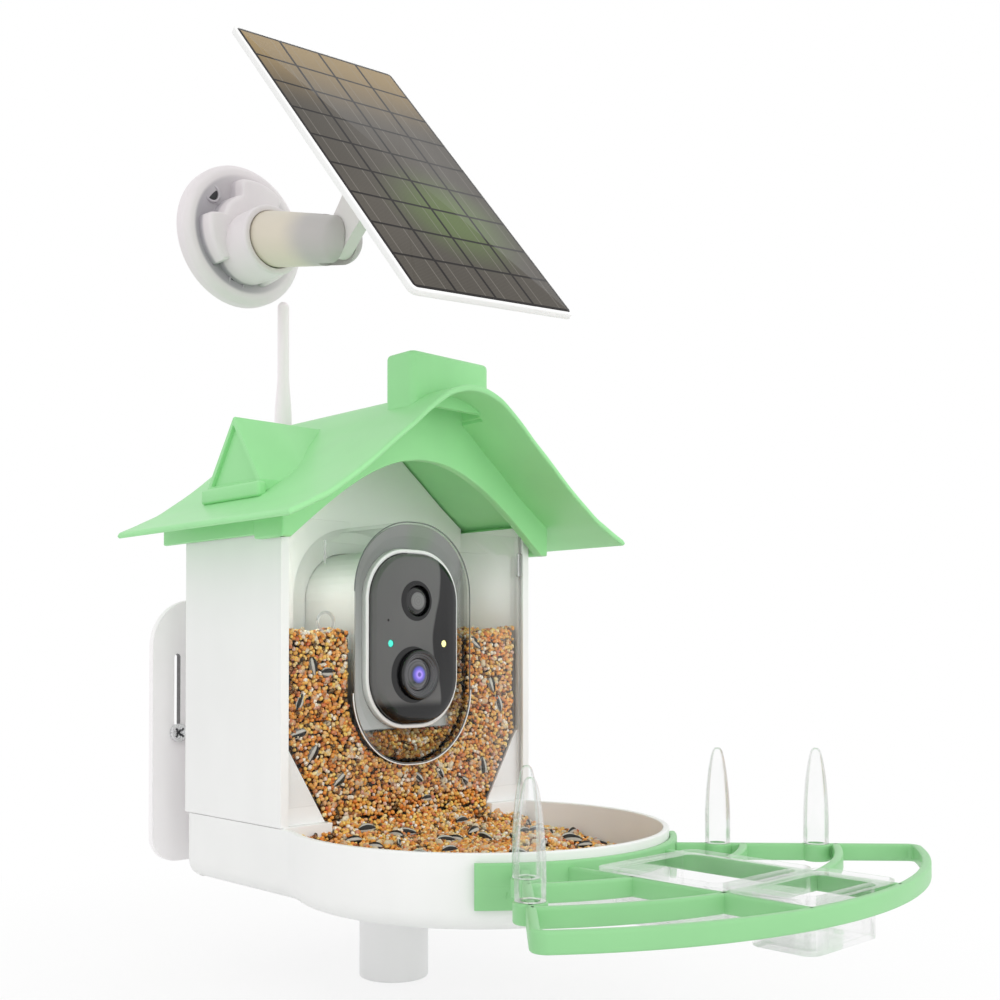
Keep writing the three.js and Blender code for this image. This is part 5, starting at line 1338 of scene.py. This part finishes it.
def solar_arm():
    """The arm: a turned shaft that narrows, and two lobes at its end with the bracket's slot between them.

    Past the joint a lobe's radius is tip sqrt(1 - (s / 10) ** 2) at s beyond it. Each lobe is the part of a
    circle of that radius that lies more than half a slot from its middle.
    """
    joint, root, tip, half_slot = SOLAR_ARM["length"], SOLAR_ARM["root"], SOLAR_ARM["tip"], 4.0
    shaft = turned(eased([(root, -14.8), (root, 0), (13.12, 50.0)], [1.0], 3), 72)
    parts = [facing_front(shaft, (0, 0, 0))]
    along = np.concatenate([np.linspace(49.9, joint, 6), joint + 9.9 * np.sin(np.linspace(0.1, 1.22, 12))])
    radius = np.where(along < joint, root - 0.0416 * along,
                      tip * np.sqrt(np.clip(1 - ((along - joint) / 10) ** 2, 0, 1)))
    half = np.arccos(np.clip(half_slot / radius, -1, 1))
    for turn in (0, math.pi):
        angle = turn + half[:, None] * np.linspace(-1, 1, 25)
        ring = np.stack([radius[:, None] * np.cos(angle), radius[:, None] * np.sin(angle),
                         np.broadcast_to(along[:, None], angle.shape)], -1)
        parts.append(facing_front(capped(ring), (0, 0, 0)))
    return moved(gathered(*parts), lean_of_arm()[0], SOLAR_ARM["start"])


def panel_rim():
    """The panel's frame: its section carried round the panel's outline."""
    outline = rounded_rect(PANEL["width"], PANEL["height"], 4, PANEL["middle"], 8)
    section = eased([(-3, 51.7), (0, 51.7), (0, 55.1), (-1.8, 55.1), (-1.8, 53.0)], [0.8, 0.7, 0.2], 4)
    return on_panel(carried(outline, section))


def panel_glass():
    """The panel's glass, 2.1 inside the outline on each side, and its pattern map from the cells' corner."""
    outline = rounded_rect(PANEL["width"] - 4.2, PANEL["height"] - 4.2, 2, PANEL["middle"], 5)
    flat = carried(outline, [(0, 53.2), (0, 54.9), (-0.25, 55.05)])
    corner = [CELLS_ACROSS / 2 * CELL_X, CELLS_ALONG / 2 * CELL_Y - PANEL["middle"][1]]
    return on_panel(flat), flat[0][:, :2] + corner


# Seed

def grain_shape():
    """An oval grain 1 long and 0.72 wide: two rings of six points, half a step apart, between two poles."""
    around, radius, shoulder = 6, 0.36, 0.27
    low = np.column_stack([circle(around, radius), np.full(around, -shoulder)])
    high = np.column_stack([circle(2 * around, radius)[1::2], np.full(around, shoulder)])
    points = np.concatenate([[[0, 0, -0.5]], low, high, [[0, 0, 0.5]]])
    foot, head = np.zeros(around, int), np.full(around, 2 * around + 1)
    below, above = 1 + np.arange(around), 1 + around + np.arange(around)
    below_next, above_next = np.roll(below, -1), np.roll(above, -1)
    faces = [np.stack([foot, below_next, below], -1), np.stack([below, below_next, above], -1),
             np.stack([below_next, above_next, above], -1), np.stack([head, above, above_next], -1)]
    return points, faces


def husk_shape(around=8, along=7):
    """A flat drop 1 long: half widths 0.26 and 0.14 times sin(pi s ** 0.8) ** 0.62 at the share s of its length."""
    share = np.linspace(0.04, 0.97, along)[:, None]
    wide = np.sin(math.pi * share ** 0.8) ** 0.62
    ring = circle(around)
    rows = np.stack([0.26 * wide * ring[:, 0], 0.14 * wide * ring[:, 1],
                     np.broadcast_to(share - 0.5, (along, around))], -1)
    points, faces = capped(rows)
    turn = np.tile(np.arange(around) / around, along)
    uv = np.column_stack([turn, np.repeat(share[:, 0], around)])
    return (points, faces), np.concatenate([uv, [[0.5, 0], [0.5, 1]]])


def rough_lattice(chance, low, high, apart):
    """A lattice of six-neighbour places in a rectangle, each shaken by a third of the spacing."""
    row_step, shake = 0.87, 0.33
    xs = np.arange(low[0], high[0], apart)
    ys = np.arange(low[1], high[1], apart * row_step)
    x, y = np.meshgrid(xs, ys)
    x = x + (np.arange(len(ys)) % 2)[:, None] * apart / 2
    places = np.stack([x, y], -1).reshape(-1, 2)
    return places + chance.uniform(-shake, shake, places.shape) * apart


def random_turns(chance, count):
    """Turns with no favoured way: four normal numbers as a quaternion, brought to length 1."""
    turns = chance.normal(size=(count, 4))
    return turns / np.linalg.norm(turns, axis=1, keepdims=True)


def oval_distance(x, z):
    """Distance outside the tunnel's outline, a rounded rectangle. Inside it is below 0."""
    corner = TUNNEL["corner"]
    across = np.maximum(np.abs(x) - (TUNNEL["width"] / 2 - corner), 0)
    up = np.maximum(np.abs(z - TUNNEL["middle"]) - (TUNNEL["height"] / 2 - corner), 0)
    return np.hypot(across, up) - corner


def hopper_top(x):
    """The seed's level behind the window: 95.6 with waves, a dip left of the camera, heaps at both sides."""
    waves = 95.6 + 1.6 * np.sin(x / 11.0) + 1.1 * np.sin(x / 4.7 + 1.3)
    dip = 4.0 * np.exp(-((x + 58.5) / 7.0) ** 2)
    return waves - dip + 2.0 * np.exp(-((x + 80) / 8) ** 2) + 3.0 * np.clip(x - 45, 0, 40) / 40


def window_grains(chance, apart):
    """Places of grains just behind the window, from the chute's mouth up to the seed's level."""
    front = rough_lattice(chance, (-82, -9), (82, 102), apart)
    x, z = front[:, 0], front[:, 1]
    half = np.interp(z, CHUTE_UP, (55.2, 78.6))
    inside = (np.abs(x) < half - 0.6) & (z < hopper_top(x)) & (oval_distance(x, z) > 1.3)
    x, z = x[inside], z[inside]
    y = np.interp(z, [-9, -1, 2], [-8.5, 2.5, 5.0])
    return np.stack([x, y + chance.uniform(0, 0.9, len(x)), z], -1)


def flare_grains(chance, apart, layer):
    """Places of loose grains in one layer behind the smoky ring, at its clear foot and right side."""
    loose = rough_lattice(chance, (-38, 24), (41, 99), apart * 0.9)
    x, z = loose[:, 0], loose[:, 1]
    from_camera = np.hypot(
        np.maximum(np.abs(x) - 5, 0), np.maximum(np.abs(z - CAMERA["middle"]) - 20.5, 0)) - CAMERA["corner"]
    clear_part = (z < 43.5) | (x > 20)
    room = (oval_distance(x, z) < -2.4) & (from_camera > -1.5) & clear_part & (z < hopper_top(x) - 2)
    x, z, from_camera = x[room], z[room], from_camera[room]
    y = np.interp(from_camera, [0, 7], [7.7, 4.7]) + layer + chance.uniform(0, 0.8, len(x))
    return np.stack([x, y, z], -1)


def tunnel_grains(chance, apart):
    """Places of grains on the tunnel's wall, on a lattice wrapped round its outline."""
    outline = rounded_rect(TUNNEL["width"], TUNNEL["height"], TUNNEL["corner"], (0, TUNNEL["middle"]), 40)
    run = np.concatenate([[0], np.cumsum(np.linalg.norm(np.diff(outline, axis=0), axis=1))])
    round_it = rough_lattice(chance, (0, 6.5), (run[-1], 53), apart)
    index = np.stack([np.interp(round_it[:, 0], run, outline[:, i]) for i in (0, 1)], -1)
    normal = np.stack([np.interp(round_it[:, 0], run, outward(outline)[:, i]) for i in (0, 1)], -1)
    wall = index + normal * (1.45 + chance.uniform(0, 0.5, (len(index), 1)))
    near = wall[:, 1] < hopper_top(wall[:, 0]) - 1
    return np.stack([wall[near, 0], round_it[near, 1], wall[near, 1]], -1)


def top_grains(chance, apart):
    """Places of grains on top of the hopper's seed, either side of the camera's tunnel."""
    top = rough_lattice(chance, (-82, 6), (82, 53), apart)
    x, y = top[:, 0], top[:, 1]
    free = (np.abs(x) > 42.8) & (np.abs(x) < 81.8)
    level = hopper_top(x) - 0.8 + 0.8 * np.sin(y / 6) + chance.uniform(-0.4, 0.4, len(x))
    return np.stack([x, y, level], -1)[free]


def hopper_places(chance, apart):
    """Places of all the hopper's grains."""
    return np.concatenate([
        window_grains(chance, apart), flare_grains(chance, apart, 0.0), flare_grains(chance, apart, 1.6),
        tunnel_grains(chance, apart), top_grains(chance, apart)])


def tray_level(x, y):
    """Height of the seed in the tray: it slopes down from the house's mouth and falls away at the far wall."""
    slope = np.interp(y, [-142, -120, -60, -8, 3.5], [-25.5, -19.5, -13.5, -8.6, -1.0])
    fall = 5.5 * np.clip((x - 38) / 50, 0, 1) ** 1.5
    return slope - fall + 0.9 * np.sin(x / 9 + y / 13) + 0.6 * np.sin(x / 4 - y / 6)


def tray_room(x, y, inset):
    """Whether a place lies in the tray at least an inset from its outline, or in the house's mouth."""
    radius = TRAY["radius"] - inset
    bowl = (np.hypot(x, y - TRAY_MIDDLE[1]) < radius) & (np.abs(x) < radius)
    before = y < -1.0
    mouth = (np.abs(x) < 54.5) & (y < 4.5)
    return bowl & (before & ((np.abs(x) < TRAY["half"] - inset) | (y < -8)) | mouth)


def tray_bed():
    """The tray's mass of seed: the tray's outline shrunk in rows to its middle, 1.7 mm below the grains' level."""
    outline = tray_outline(3.6)
    outline = outline[outline[:, 1] < 4.0]
    middle = np.array([0, -60])
    share = np.concatenate([[1.0, 1.0], np.linspace(0.97, 0.04, 24)])[:, None, None]
    flat = middle + share * (outline - middle)
    mouth = np.abs(flat[..., 0]) < 54
    flat[..., 1] = np.where(mouth, flat[..., 1], np.minimum(flat[..., 1], -0.5))
    level = tray_level(flat[..., 0], flat[..., 1]) - 1.7
    level[0] = -30.6
    return capped(np.concatenate([flat, level[..., None]], -1))


def sunk_seed(points):
    """The hopper seed's own points drawn back from the window, down from its top and in from its sides."""
    y = np.maximum(points[:, 1], 6.6)
    level = np.minimum(points[:, 2], 91.5)
    return np.stack([points[:, 0] * 0.992, y, level], -1)


def window_spots(chance, low, high, apart, halves, clear, share, behind):
    """Places of larger pieces behind the window, clear of the tunnel. A share of the lattice is kept."""
    spots = rough_lattice(chance, low, high, apart)
    half = np.interp(spots[:, 1], CHUTE_UP, halves)
    spots = spots[(np.abs(spots[:, 0]) < half) & (oval_distance(spots[:, 0], spots[:, 1]) > clear)]
    spots = spots[chance.uniform(0, 1, len(spots)) < share]
    return np.column_stack([spots[:, 0], np.full(len(spots), behind), spots[:, 1]])


def tray_spots(chance, low, high, apart, inset, share, above):
    """Places of larger pieces on the tray's seed. A share of the lattice is kept."""
    spots = rough_lattice(chance, low, high, apart)
    spots = spots[tray_room(spots[:, 0], spots[:, 1], inset)]
    spots = spots[chance.uniform(0, 1, len(spots)) < share]
    return np.column_stack([spots, tray_level(spots[:, 0], spots[:, 1]) + above])


def millet_piece(name, chance, places):
    """One mesh of grains at places, each turned at random and from 0.72 to 1.08 of the set length."""
    long = millimetres(sizes().millet)
    scales = long * chance.uniform(0.72, 1.08, (len(places), 1)) * np.array([[1.0, 0.92, 1.0]])
    mesh = make_mesh(name, turned_each(grain_shape(), places, random_turns(chance, len(places)), scales), sharp=None)
    clumps = 0.12 * np.sin(places[:, 0] / 6) * np.sin(places[:, 2] / 5 + places[:, 1] / 7)
    tone = np.clip(chance.uniform(0, 1, len(places)) + clumps, 0, 1)
    give_attribute(mesh, "tone", np.repeat(tone, len(grain_shape()[0])))
    return settle(name, mesh, "feeder_house", "millet", ())


def husk_piece(name, places, turns, lengths):
    """Striped husks at places, with the pattern map of the drop repeated on each."""
    shape, uv = husk_shape()
    mesh = make_mesh(name, turned_each(shape, places, turns, lengths[:, None]), sharp=None)
    give_uv(mesh, np.tile(uv, (len(places), 1)))
    return settle(name, mesh, "feeder_house", "husk", ())


def kernel_piece(name, chance, places, turns):
    """Flat hulled pieces from 3.4 to 6.2 mm long, cream, white, orange or dark."""
    scales = chance.uniform(3.4, 6.2, (len(places), 1)) * np.array([[0.9, 0.5, 1.0]])
    mesh = make_mesh(name, turned_each(grain_shape(), places, turns, scales), sharp=None)
    give_attribute(mesh, "tone", np.repeat(chance.uniform(0, 1, len(places)), len(grain_shape()[0])))
    return settle(name, mesh, "feeder_house", "kernels", ())


def flat_turns(chance, count, tilt):
    """Turns that lay a shape's length in the plane of the window, at any angle, tilted a little out of it."""
    spin = chance.uniform(0, TAU, count) / 2
    tip = chance.normal(0, tilt, count) / 2
    about_y = np.stack([np.cos(spin), np.zeros(count), np.sin(spin), np.zeros(count)], -1)
    about_x = np.stack([np.cos(tip), np.sin(tip), np.zeros(count), np.zeros(count)], -1)
    return quaternion_product(about_y, about_x)


def quaternion_product(a, b):
    """The product of two arrays of unit quaternions (w, x, y, z)."""
    w, x, y, z = np.moveaxis(a, -1, 0)
    p, q, r, s = np.moveaxis(b, -1, 0)
    return np.stack([w * p - x * q - y * r - z * s, w * q + x * p + y * s - z * r,
                     w * r - x * s + y * p + z * q, w * s + x * r - y * q + z * p], -1)


def lying_turns(chance, count):
    """Turns that lay a shape's length on a level bed, at any angle round the upright."""
    lay = np.tile([math.cos(math.pi / 4), 0, math.sin(math.pi / 4), 0], (count, 1))
    spin = chance.uniform(0, TAU, count) / 2
    round_it = np.stack([np.cos(spin), np.zeros(count), np.zeros(count), np.sin(spin)], -1)
    return quaternion_product(round_it, lay)


# Operators

class FeederPiece:
    """What the operators of all pieces share: they run in the open scene and can be undone."""

    bl_options = {"REGISTER", "UNDO"}

    @classmethod
    def poll(cls, context):
        return context.scene is not None


class FEEDER_OT_wall_plate(FeederPiece, bpy.types.Operator):
    """Makes the wall plate and its two screws"""

    bl_idname = "feeder.wall_plate"
    bl_label = "Wall plate"

    def execute(self, context):
        from_frame("wall_plate", "plate white", 0.7)
        for node in ("wall_screw_1", "wall_screw_2"):
            from_frame(node, "chrome screw", 0.35)
        return {"FINISHED"}


class FEEDER_OT_house(FeederPiece, bpy.types.Operator):
    """Makes the white house, the round-fronted tray and the pole socket"""

    bl_idname = "feeder.house"
    bl_label = "House and tray"

    def execute(self, context):
        from_frame("house", "white", 0.4)
        piece_of("chute_cheeks", cheeks(), "feeder_house", "white", ())
        piece_of("tray_bowl", tray_bowl(), "feeder_house", "white", ["tray"])
        piece_of("pole_tube", pole_tube(), "feeder_house", "white lifted by painted light", ["pole_socket"])
        return {"FINISHED"}


class FEEDER_OT_window(FeederPiece, bpy.types.Operator):
    """Makes the clear front with its moulded marks, and the smoky tunnel with its ring, partly grey as painted shade, a
    dark bead of painted shade along its rim and a white bead of painted highlight round its lower part
    """

    bl_idname = "feeder.window"
    bl_label = "Window and tunnel"

    def execute(self, context):
        from_frame("front_window", "pane", 0.25)
        from_frame("camera_tunnel", "smoky", 0.35)
        piece_of("tunnel_flare", flare_ring(), "feeder_house", "flare", ())
        # Painted shade: a dark bead along the tunnel's rim.
        piece_of("tunnel_edge", tunnel_bead(0.0, -132, 152), "feeder_house", "tunnel edge shade", ())
        # Painted highlight: a white bead round the tunnel's lower rim.
        piece_of("tunnel_highlight", tunnel_bead(0.75, -158, -24), "feeder_house", "white", ())
        piece_of("window_marks", window_marks(), "feeder_house", "clear edge", ())
        return {"FINISHED"}


class FEEDER_OT_camera(FeederPiece, bpy.types.Operator):
    """Makes the camera's ring, face, lens, sensor dome and lights"""

    bl_idname = "feeder.camera"
    bl_label = "Camera"

    def execute(self, context):
        piece_of("camera_ring", camera_ring(), "feeder_house", "white", ["camera_bezel"])
        from_frame("camera_face", "camera face", 0.25, clamp=False)
        piece_of("lens_tube", lens_tube(), "feeder_house", "lens barrel", ["lens_barrel"])
        piece_of("lens_dome", lens_dome(), "feeder_house", "lens glass", ["lens_glass"])
        dome = facing_front(knob(8, 2.4, 5.6, 14, 56), (0, 6.1, SENSOR_UP))
        piece_of("motion_dome", dome, "feeder_house", "motion lens", ["motion_sensor"])
        for side, node, finish, slot in ((-1, "status_light", "status light", "cyan_led"),
                                         (1, "night_light", "night light", "warm_led")):
            lamp = facing_front(knob(1.9, 0.6, 6.6, 6, 24), (side * LIGHTS_OUT, 5.5, LIGHTS_UP))
            piece_of(f"{node}_dome", lamp, "feeder_house", finish, [node])
        return {"FINISHED"}


class FEEDER_OT_roof(FeederPiece, bpy.types.Operator):
    """Makes the green roof with its chimney, dormer, arch and side rails"""

    bl_idname = "feeder.roof"
    bl_label = "Roof"

    def execute(self, context):
        piece_of("roof_moulding", moulded_roof(), "roof_lid", "green", ["roof"], weld=True)
        return {"FINISHED"}


class FEEDER_OT_antenna(FeederPiece, bpy.types.Operator):
    """Makes the white antenna rod"""

    bl_idname = "feeder.antenna"
    bl_label = "Antenna"

    def execute(self, context):
        piece_of("antenna_rod_skin", antenna_rod(), "antenna_rod", "antenna white", ["antenna"])
        return {"FINISHED"}


class FEEDER_OT_perch(FeederPiece, bpy.types.Operator):
    """Makes the green perch frame with its clear fruit spikes and cups"""

    bl_idname = "feeder.perch"
    bl_label = "Perch frame"

    def execute(self, context):
        piece_of("perch_moulding", perch_frame(), "perch", "shaded perch green", ["perch_frame"])
        for side, side_name in ((-1, "left"), (1, "right")):
            for place, row in zip(SPIKES, ("inner", "outer")):
                name = f"{side_name}_{row}"
                piece_of(f"spike_{name}", standing(spike(), (side * place[0], place[1], 0)), "perch",
                         "spike", [f"fruit_spike_{name}"], sharp=50)
        for node in ("cup_inner", "cup_outer"):
            from_frame(node, "cup", 0.35)
        return {"FINISHED"}


class FEEDER_OT_solar_mount(FeederPiece, bpy.types.Operator):
    """Makes the solar panel's wall base, arm and bracket"""

    bl_idname = "feeder.solar_mount"
    bl_label = "Solar mount"

    def execute(self, context):
        piece_of("solar_wall_base", solar_base(), "feeder_house", "solar base", ["solar_base"])
        # Painted shade: dark discs in the screw seats' holes.
        piece_of("solar_base_well_shade", solar_base_well_shade(), "feeder_house", "dark", ())
        piece_of("solar_arm_shaft", solar_arm(), "solar_arm_body", "arm white", ["solar_arm"])
        from_frame("panel_bracket", "solar white", 0.6)
        return {"FINISHED"}


class FEEDER_OT_solar_panel(FeederPiece, bpy.types.Operator):
    """Makes the solar panel's back box, frame and cells"""

    bl_idname = "feeder.solar_panel"
    bl_label = "Solar panel"

    def execute(self, context):
        from_frame("panel_back_box", "white", 0.8)
        piece_of("panel_rim", panel_rim(), "solar_panel", "white", ["panel_frame"])
        glass, pattern = panel_glass()
        mesh = make_mesh("panel_glass", glass)
        give_uv(mesh, pattern)
        settle("panel_glass", mesh, "solar_panel", "solar cells", ["panel_cells"])
        return {"FINISHED"}


class FEEDER_OT_seed(FeederPiece, bpy.types.Operator):
    """Makes the seed in the hopper and in the tray, grain by grain over a darker bed with painted shade in its gaps"""

    bl_idname = "feeder.seed"
    bl_label = "Seed"

    def execute(self, context):
        chance = np.random.default_rng(SEED)
        apart, husk = millimetres(sizes().millet_apart), millimetres(sizes().sunflower)
        from_frame("hopper_seed", "seed bed", 0, name="hopper_bed", reshape=sunk_seed)
        piece_of("tray_bed", tray_bed(), "feeder_house", "seed bed", ["tray_seed"], sharp=None)

        millet_piece("hopper_millet", chance, hopper_places(chance, apart))
        spots = rough_lattice(chance, (-94, -141), (94, 5), apart)
        spots = spots[tray_room(spots[:, 0], spots[:, 1], 4.6)]
        level = tray_level(spots[:, 0], spots[:, 1]) - 0.4 + chance.uniform(-0.5, 0.5, len(spots))
        millet_piece("tray_millet", chance, np.column_stack([spots, level]))

        places = window_spots(chance, (-78, 6), (78, 94), 13.5, (49, 74), clear=5, share=0.36, behind=5.2)
        turns = flat_turns(chance, len(places), 0.25)
        husk_piece("hopper_husks", places, turns, husk * chance.uniform(0.75, 1.05, len(places)))
        places = tray_spots(chance, (-86, -134), (86, 0), 12.5, inset=11, share=0.3, above=0.6)
        turns = lying_turns(chance, len(places))
        husk_piece("tray_husks", places, turns, husk * chance.uniform(0.75, 1.05, len(places)))

        places = window_spots(chance, (-79, 3), (79, 95), 7.5, (52, 76), clear=3, share=0.5, behind=5.3)
        kernel_piece("hopper_kernels", chance, places, flat_turns(chance, len(places), 0.4))
        places = tray_spots(chance, (-88, -136), (88, 2), 7.5, inset=8, share=0.5, above=0.3)
        kernel_piece("tray_kernels", chance, places, lying_turns(chance, len(places)))
        return {"FINISHED"}


INSIDE = {
    "camera_shell": "camera body", "rear_cover": "camera body", "antenna_base": "white", "face_seal": "rubber",
    "circuit_board": "circuit", "image_sensor": "dark", "speaker": "dark", "battery_cradle": "dark",
    "battery_left": "battery", "battery_right": "battery", "power_button": "dark", "port_flap": "rubber",
    "knuckle_pin": "solar white",
}


class FEEDER_OT_inside(FeederPiece, bpy.types.Operator):
    """Gives the pieces inside and behind their finishes: camera body, board, cells, screws, seals"""

    bl_idname = "feeder.inside"
    bl_label = "Inside pieces"

    def execute(self, context):
        for node, piece in frame["nodes"].items():
            finish = INSIDE.get(node) or ("steel" if "screw" in node else None)
            if finish:
                piece.data.materials.clear()
                piece.data.materials.append(finish_named(finish))
        return {"FINISHED"}


class FEEDER_OT_stage(FeederPiece, bpy.types.Operator):
    """Makes the floor, the soft lamps, the pale surroundings and the picture's camera"""

    bl_idname = "feeder.stage"
    bl_label = "Floor, light and camera"

    def execute(self, context):
        scene = context.scene
        scene.view_settings.view_transform = "Standard"
        make_floor()
        make_surroundings(scene)
        for name, lamp in SOFT_LAMPS.items():
            soft_lamp(name, *lamp)
        for name, lamp in ROOM_LAMPS.items():
            room_lamp(name, *lamp)
        make_camera(scene)
        return {"FINISHED"}


def make_floor():
    """A wide flat disc just under the pole socket's end, plain near the feeder and white to the eye further off."""
    below, around, middle_y = 0.0005, 96, -0.1
    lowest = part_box("pole_socket")[0].z - below
    radii = np.array([0.05, 0.2, 0.4, 0.8, 1.6, 6.0])
    ring = circle(around)
    rows = np.stack([np.concatenate([ring * radius, np.full((around, 1), lowest)], 1) for radius in radii[::-1]])
    points, faces = capped(rows, caps=(False, True))
    mesh = make_mesh("floor", (points * 1000 + HOUSE_FRONT, faces))
    finish = Finish("pale floor")
    rays = [finish.node("ShaderNodeLightPath", out=f"Is {kind} Ray") for kind in ("Camera", "Glossy", "Transmission")]
    seen = rays[0].most(rays[1]).most(rays[2])
    x, y, _ = finish.axes()
    far = (x * x + (y - middle_y) * (y - middle_y)).root().band(0.12, 0.42, 0.8, 1.0)
    dust = finish.noise(3, 2, 0.5)
    ground = finish.principled(Base_Color=finish.tint(dust, (0.86, 0.86, 0.86), (0.9, 0.9, 0.9)), Roughness=0.9)
    glow = finish.node("ShaderNodeEmission", None, {"Color": (1, 1, 1), "Strength": 1.0})
    floor = bpy.data.objects.new("floor", mesh)
    bpy.context.scene.collection.objects.link(floor)
    mesh.materials.append(finish.done(finish.mix(seen * far, ground, glow)))


def make_surroundings(scene):
    """An even pale sky: white to the eye and through clear plastic, and a soft fill on the object."""
    world = bpy.data.worlds.new("pale surroundings")
    scene.world = world
    world.use_nodes = True
    tree = world.node_tree
    tree.nodes.clear()
    path = tree.nodes.new("ShaderNodeLightPath")
    seen = tree.nodes.new("ShaderNodeMath")
    seen.operation = "MAXIMUM"
    back = tree.nodes.new("ShaderNodeBackground")
    level = tree.nodes.new("ShaderNodeMapRange")
    level.inputs["To Min"].default_value = SKY["on the object"]
    level.inputs["To Max"].default_value = SKY["to the eye"]
    out = tree.nodes.new("ShaderNodeOutputWorld")
    tree.links.new(path.outputs["Is Camera Ray"], seen.inputs[0])
    tree.links.new(path.outputs["Is Transmission Ray"], seen.inputs[1])
    tree.links.new(seen.outputs[0], level.inputs[0])
    tree.links.new(level.outputs[0], back.inputs["Strength"])
    back.inputs["Color"].default_value = (1, 1, 1, 1)
    tree.links.new(back.outputs[0], out.inputs["Surface"])


def hung_lamp(name, data, place):
    """Hangs a lamp at a place, hidden from the eye and from mirrors."""
    lamp = bpy.data.objects.new(name, data)
    bpy.context.scene.collection.objects.link(lamp)
    lamp.visible_glossy = lamp.visible_camera = False
    lamp.location = place
    return lamp


def soft_lamp(name, place, size, power):
    """A square lamp of a size in metres, turned to the middle of the feeder."""
    data = bpy.data.lights.new(name, "AREA")
    data.shape, data.size, data.energy = "SQUARE", size, power
    lamp = hung_lamp(name, data, place)
    lamp.rotation_mode = "QUATERNION"
    lamp.rotation_quaternion = (FEEDER_MIDDLE - Vector(place)).to_track_quat("-Z", "Y")


def room_lamp(name, place, radius, power):
    """A small round lamp inside the house, for the light that the real roof and walls let through."""
    data = bpy.data.lights.new(name, "POINT")
    data.shadow_soft_size, data.energy = radius, power
    hung_lamp(name, data, place)


def make_camera(scene):
    """The picture's viewpoint: left of the front, a little above the tray, looking very slightly up."""
    data = bpy.data.cameras.new("picture camera")
    data.sensor_width, data.lens = VIEW["sensor"], VIEW["lens"]
    data.shift_x, data.shift_y = VIEW["shift"]
    data.clip_start, data.clip_end = 0.02, 50
    camera = bpy.data.objects.new("picture camera", data)
    scene.collection.objects.link(camera)
    camera.location = VIEW["place"]
    camera.rotation_euler = (math.radians(90 + VIEW["up"]), 0, math.radians(VIEW["turn"]))
    scene.camera = camera


class FEEDER_PT_pieces(bpy.types.Panel):
    """Lists the operators that build the feeder, with the sizes and colours that they read"""

    bl_idname = "FEEDER_PT_pieces"
    bl_label = "Bird feeder"
    bl_space_type = "VIEW_3D"
    bl_region_type = "UI"
    bl_category = "Bird feeder"

    def draw(self, context):
        for group in (context.scene.feeder_sizes, context.scene.feeder_colours):
            for name in group.bl_rna.properties.keys():
                if name not in ("rna_type", "name"):
                    self.layout.prop(group, name)
        for operator in OPERATORS:
            self.layout.operator(operator.bl_idname)


OPERATORS = [
    FEEDER_OT_wall_plate, FEEDER_OT_house, FEEDER_OT_window, FEEDER_OT_camera, FEEDER_OT_roof,
    FEEDER_OT_antenna, FEEDER_OT_perch, FEEDER_OT_solar_mount, FEEDER_OT_solar_panel, FEEDER_OT_seed,
    FEEDER_OT_inside, FEEDER_OT_stage,
]
CLASSES = [FeederSizes, FeederColours, *OPERATORS, FEEDER_PT_pieces]


def register():
    for cls in CLASSES:
        bpy.utils.register_class(cls)
    bpy.types.Scene.feeder_sizes = bpy.props.PointerProperty(type=FeederSizes)
    bpy.types.Scene.feeder_colours = bpy.props.PointerProperty(type=FeederColours)


def unregister():
    del bpy.types.Scene.feeder_sizes
    del bpy.types.Scene.feeder_colours
    for cls in reversed(CLASSES):
        bpy.utils.unregister_class(cls)


def main():
    """Registers the add-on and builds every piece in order."""
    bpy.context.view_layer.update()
    register()
    for operator in OPERATORS:
        group, action = operator.bl_idname.split(".")
        if getattr(getattr(bpy.ops, group), action)() != {"FINISHED"}:
            raise RuntimeError(f"{operator.bl_label} wasn't built")


if __name__ == "__main__":
    main()
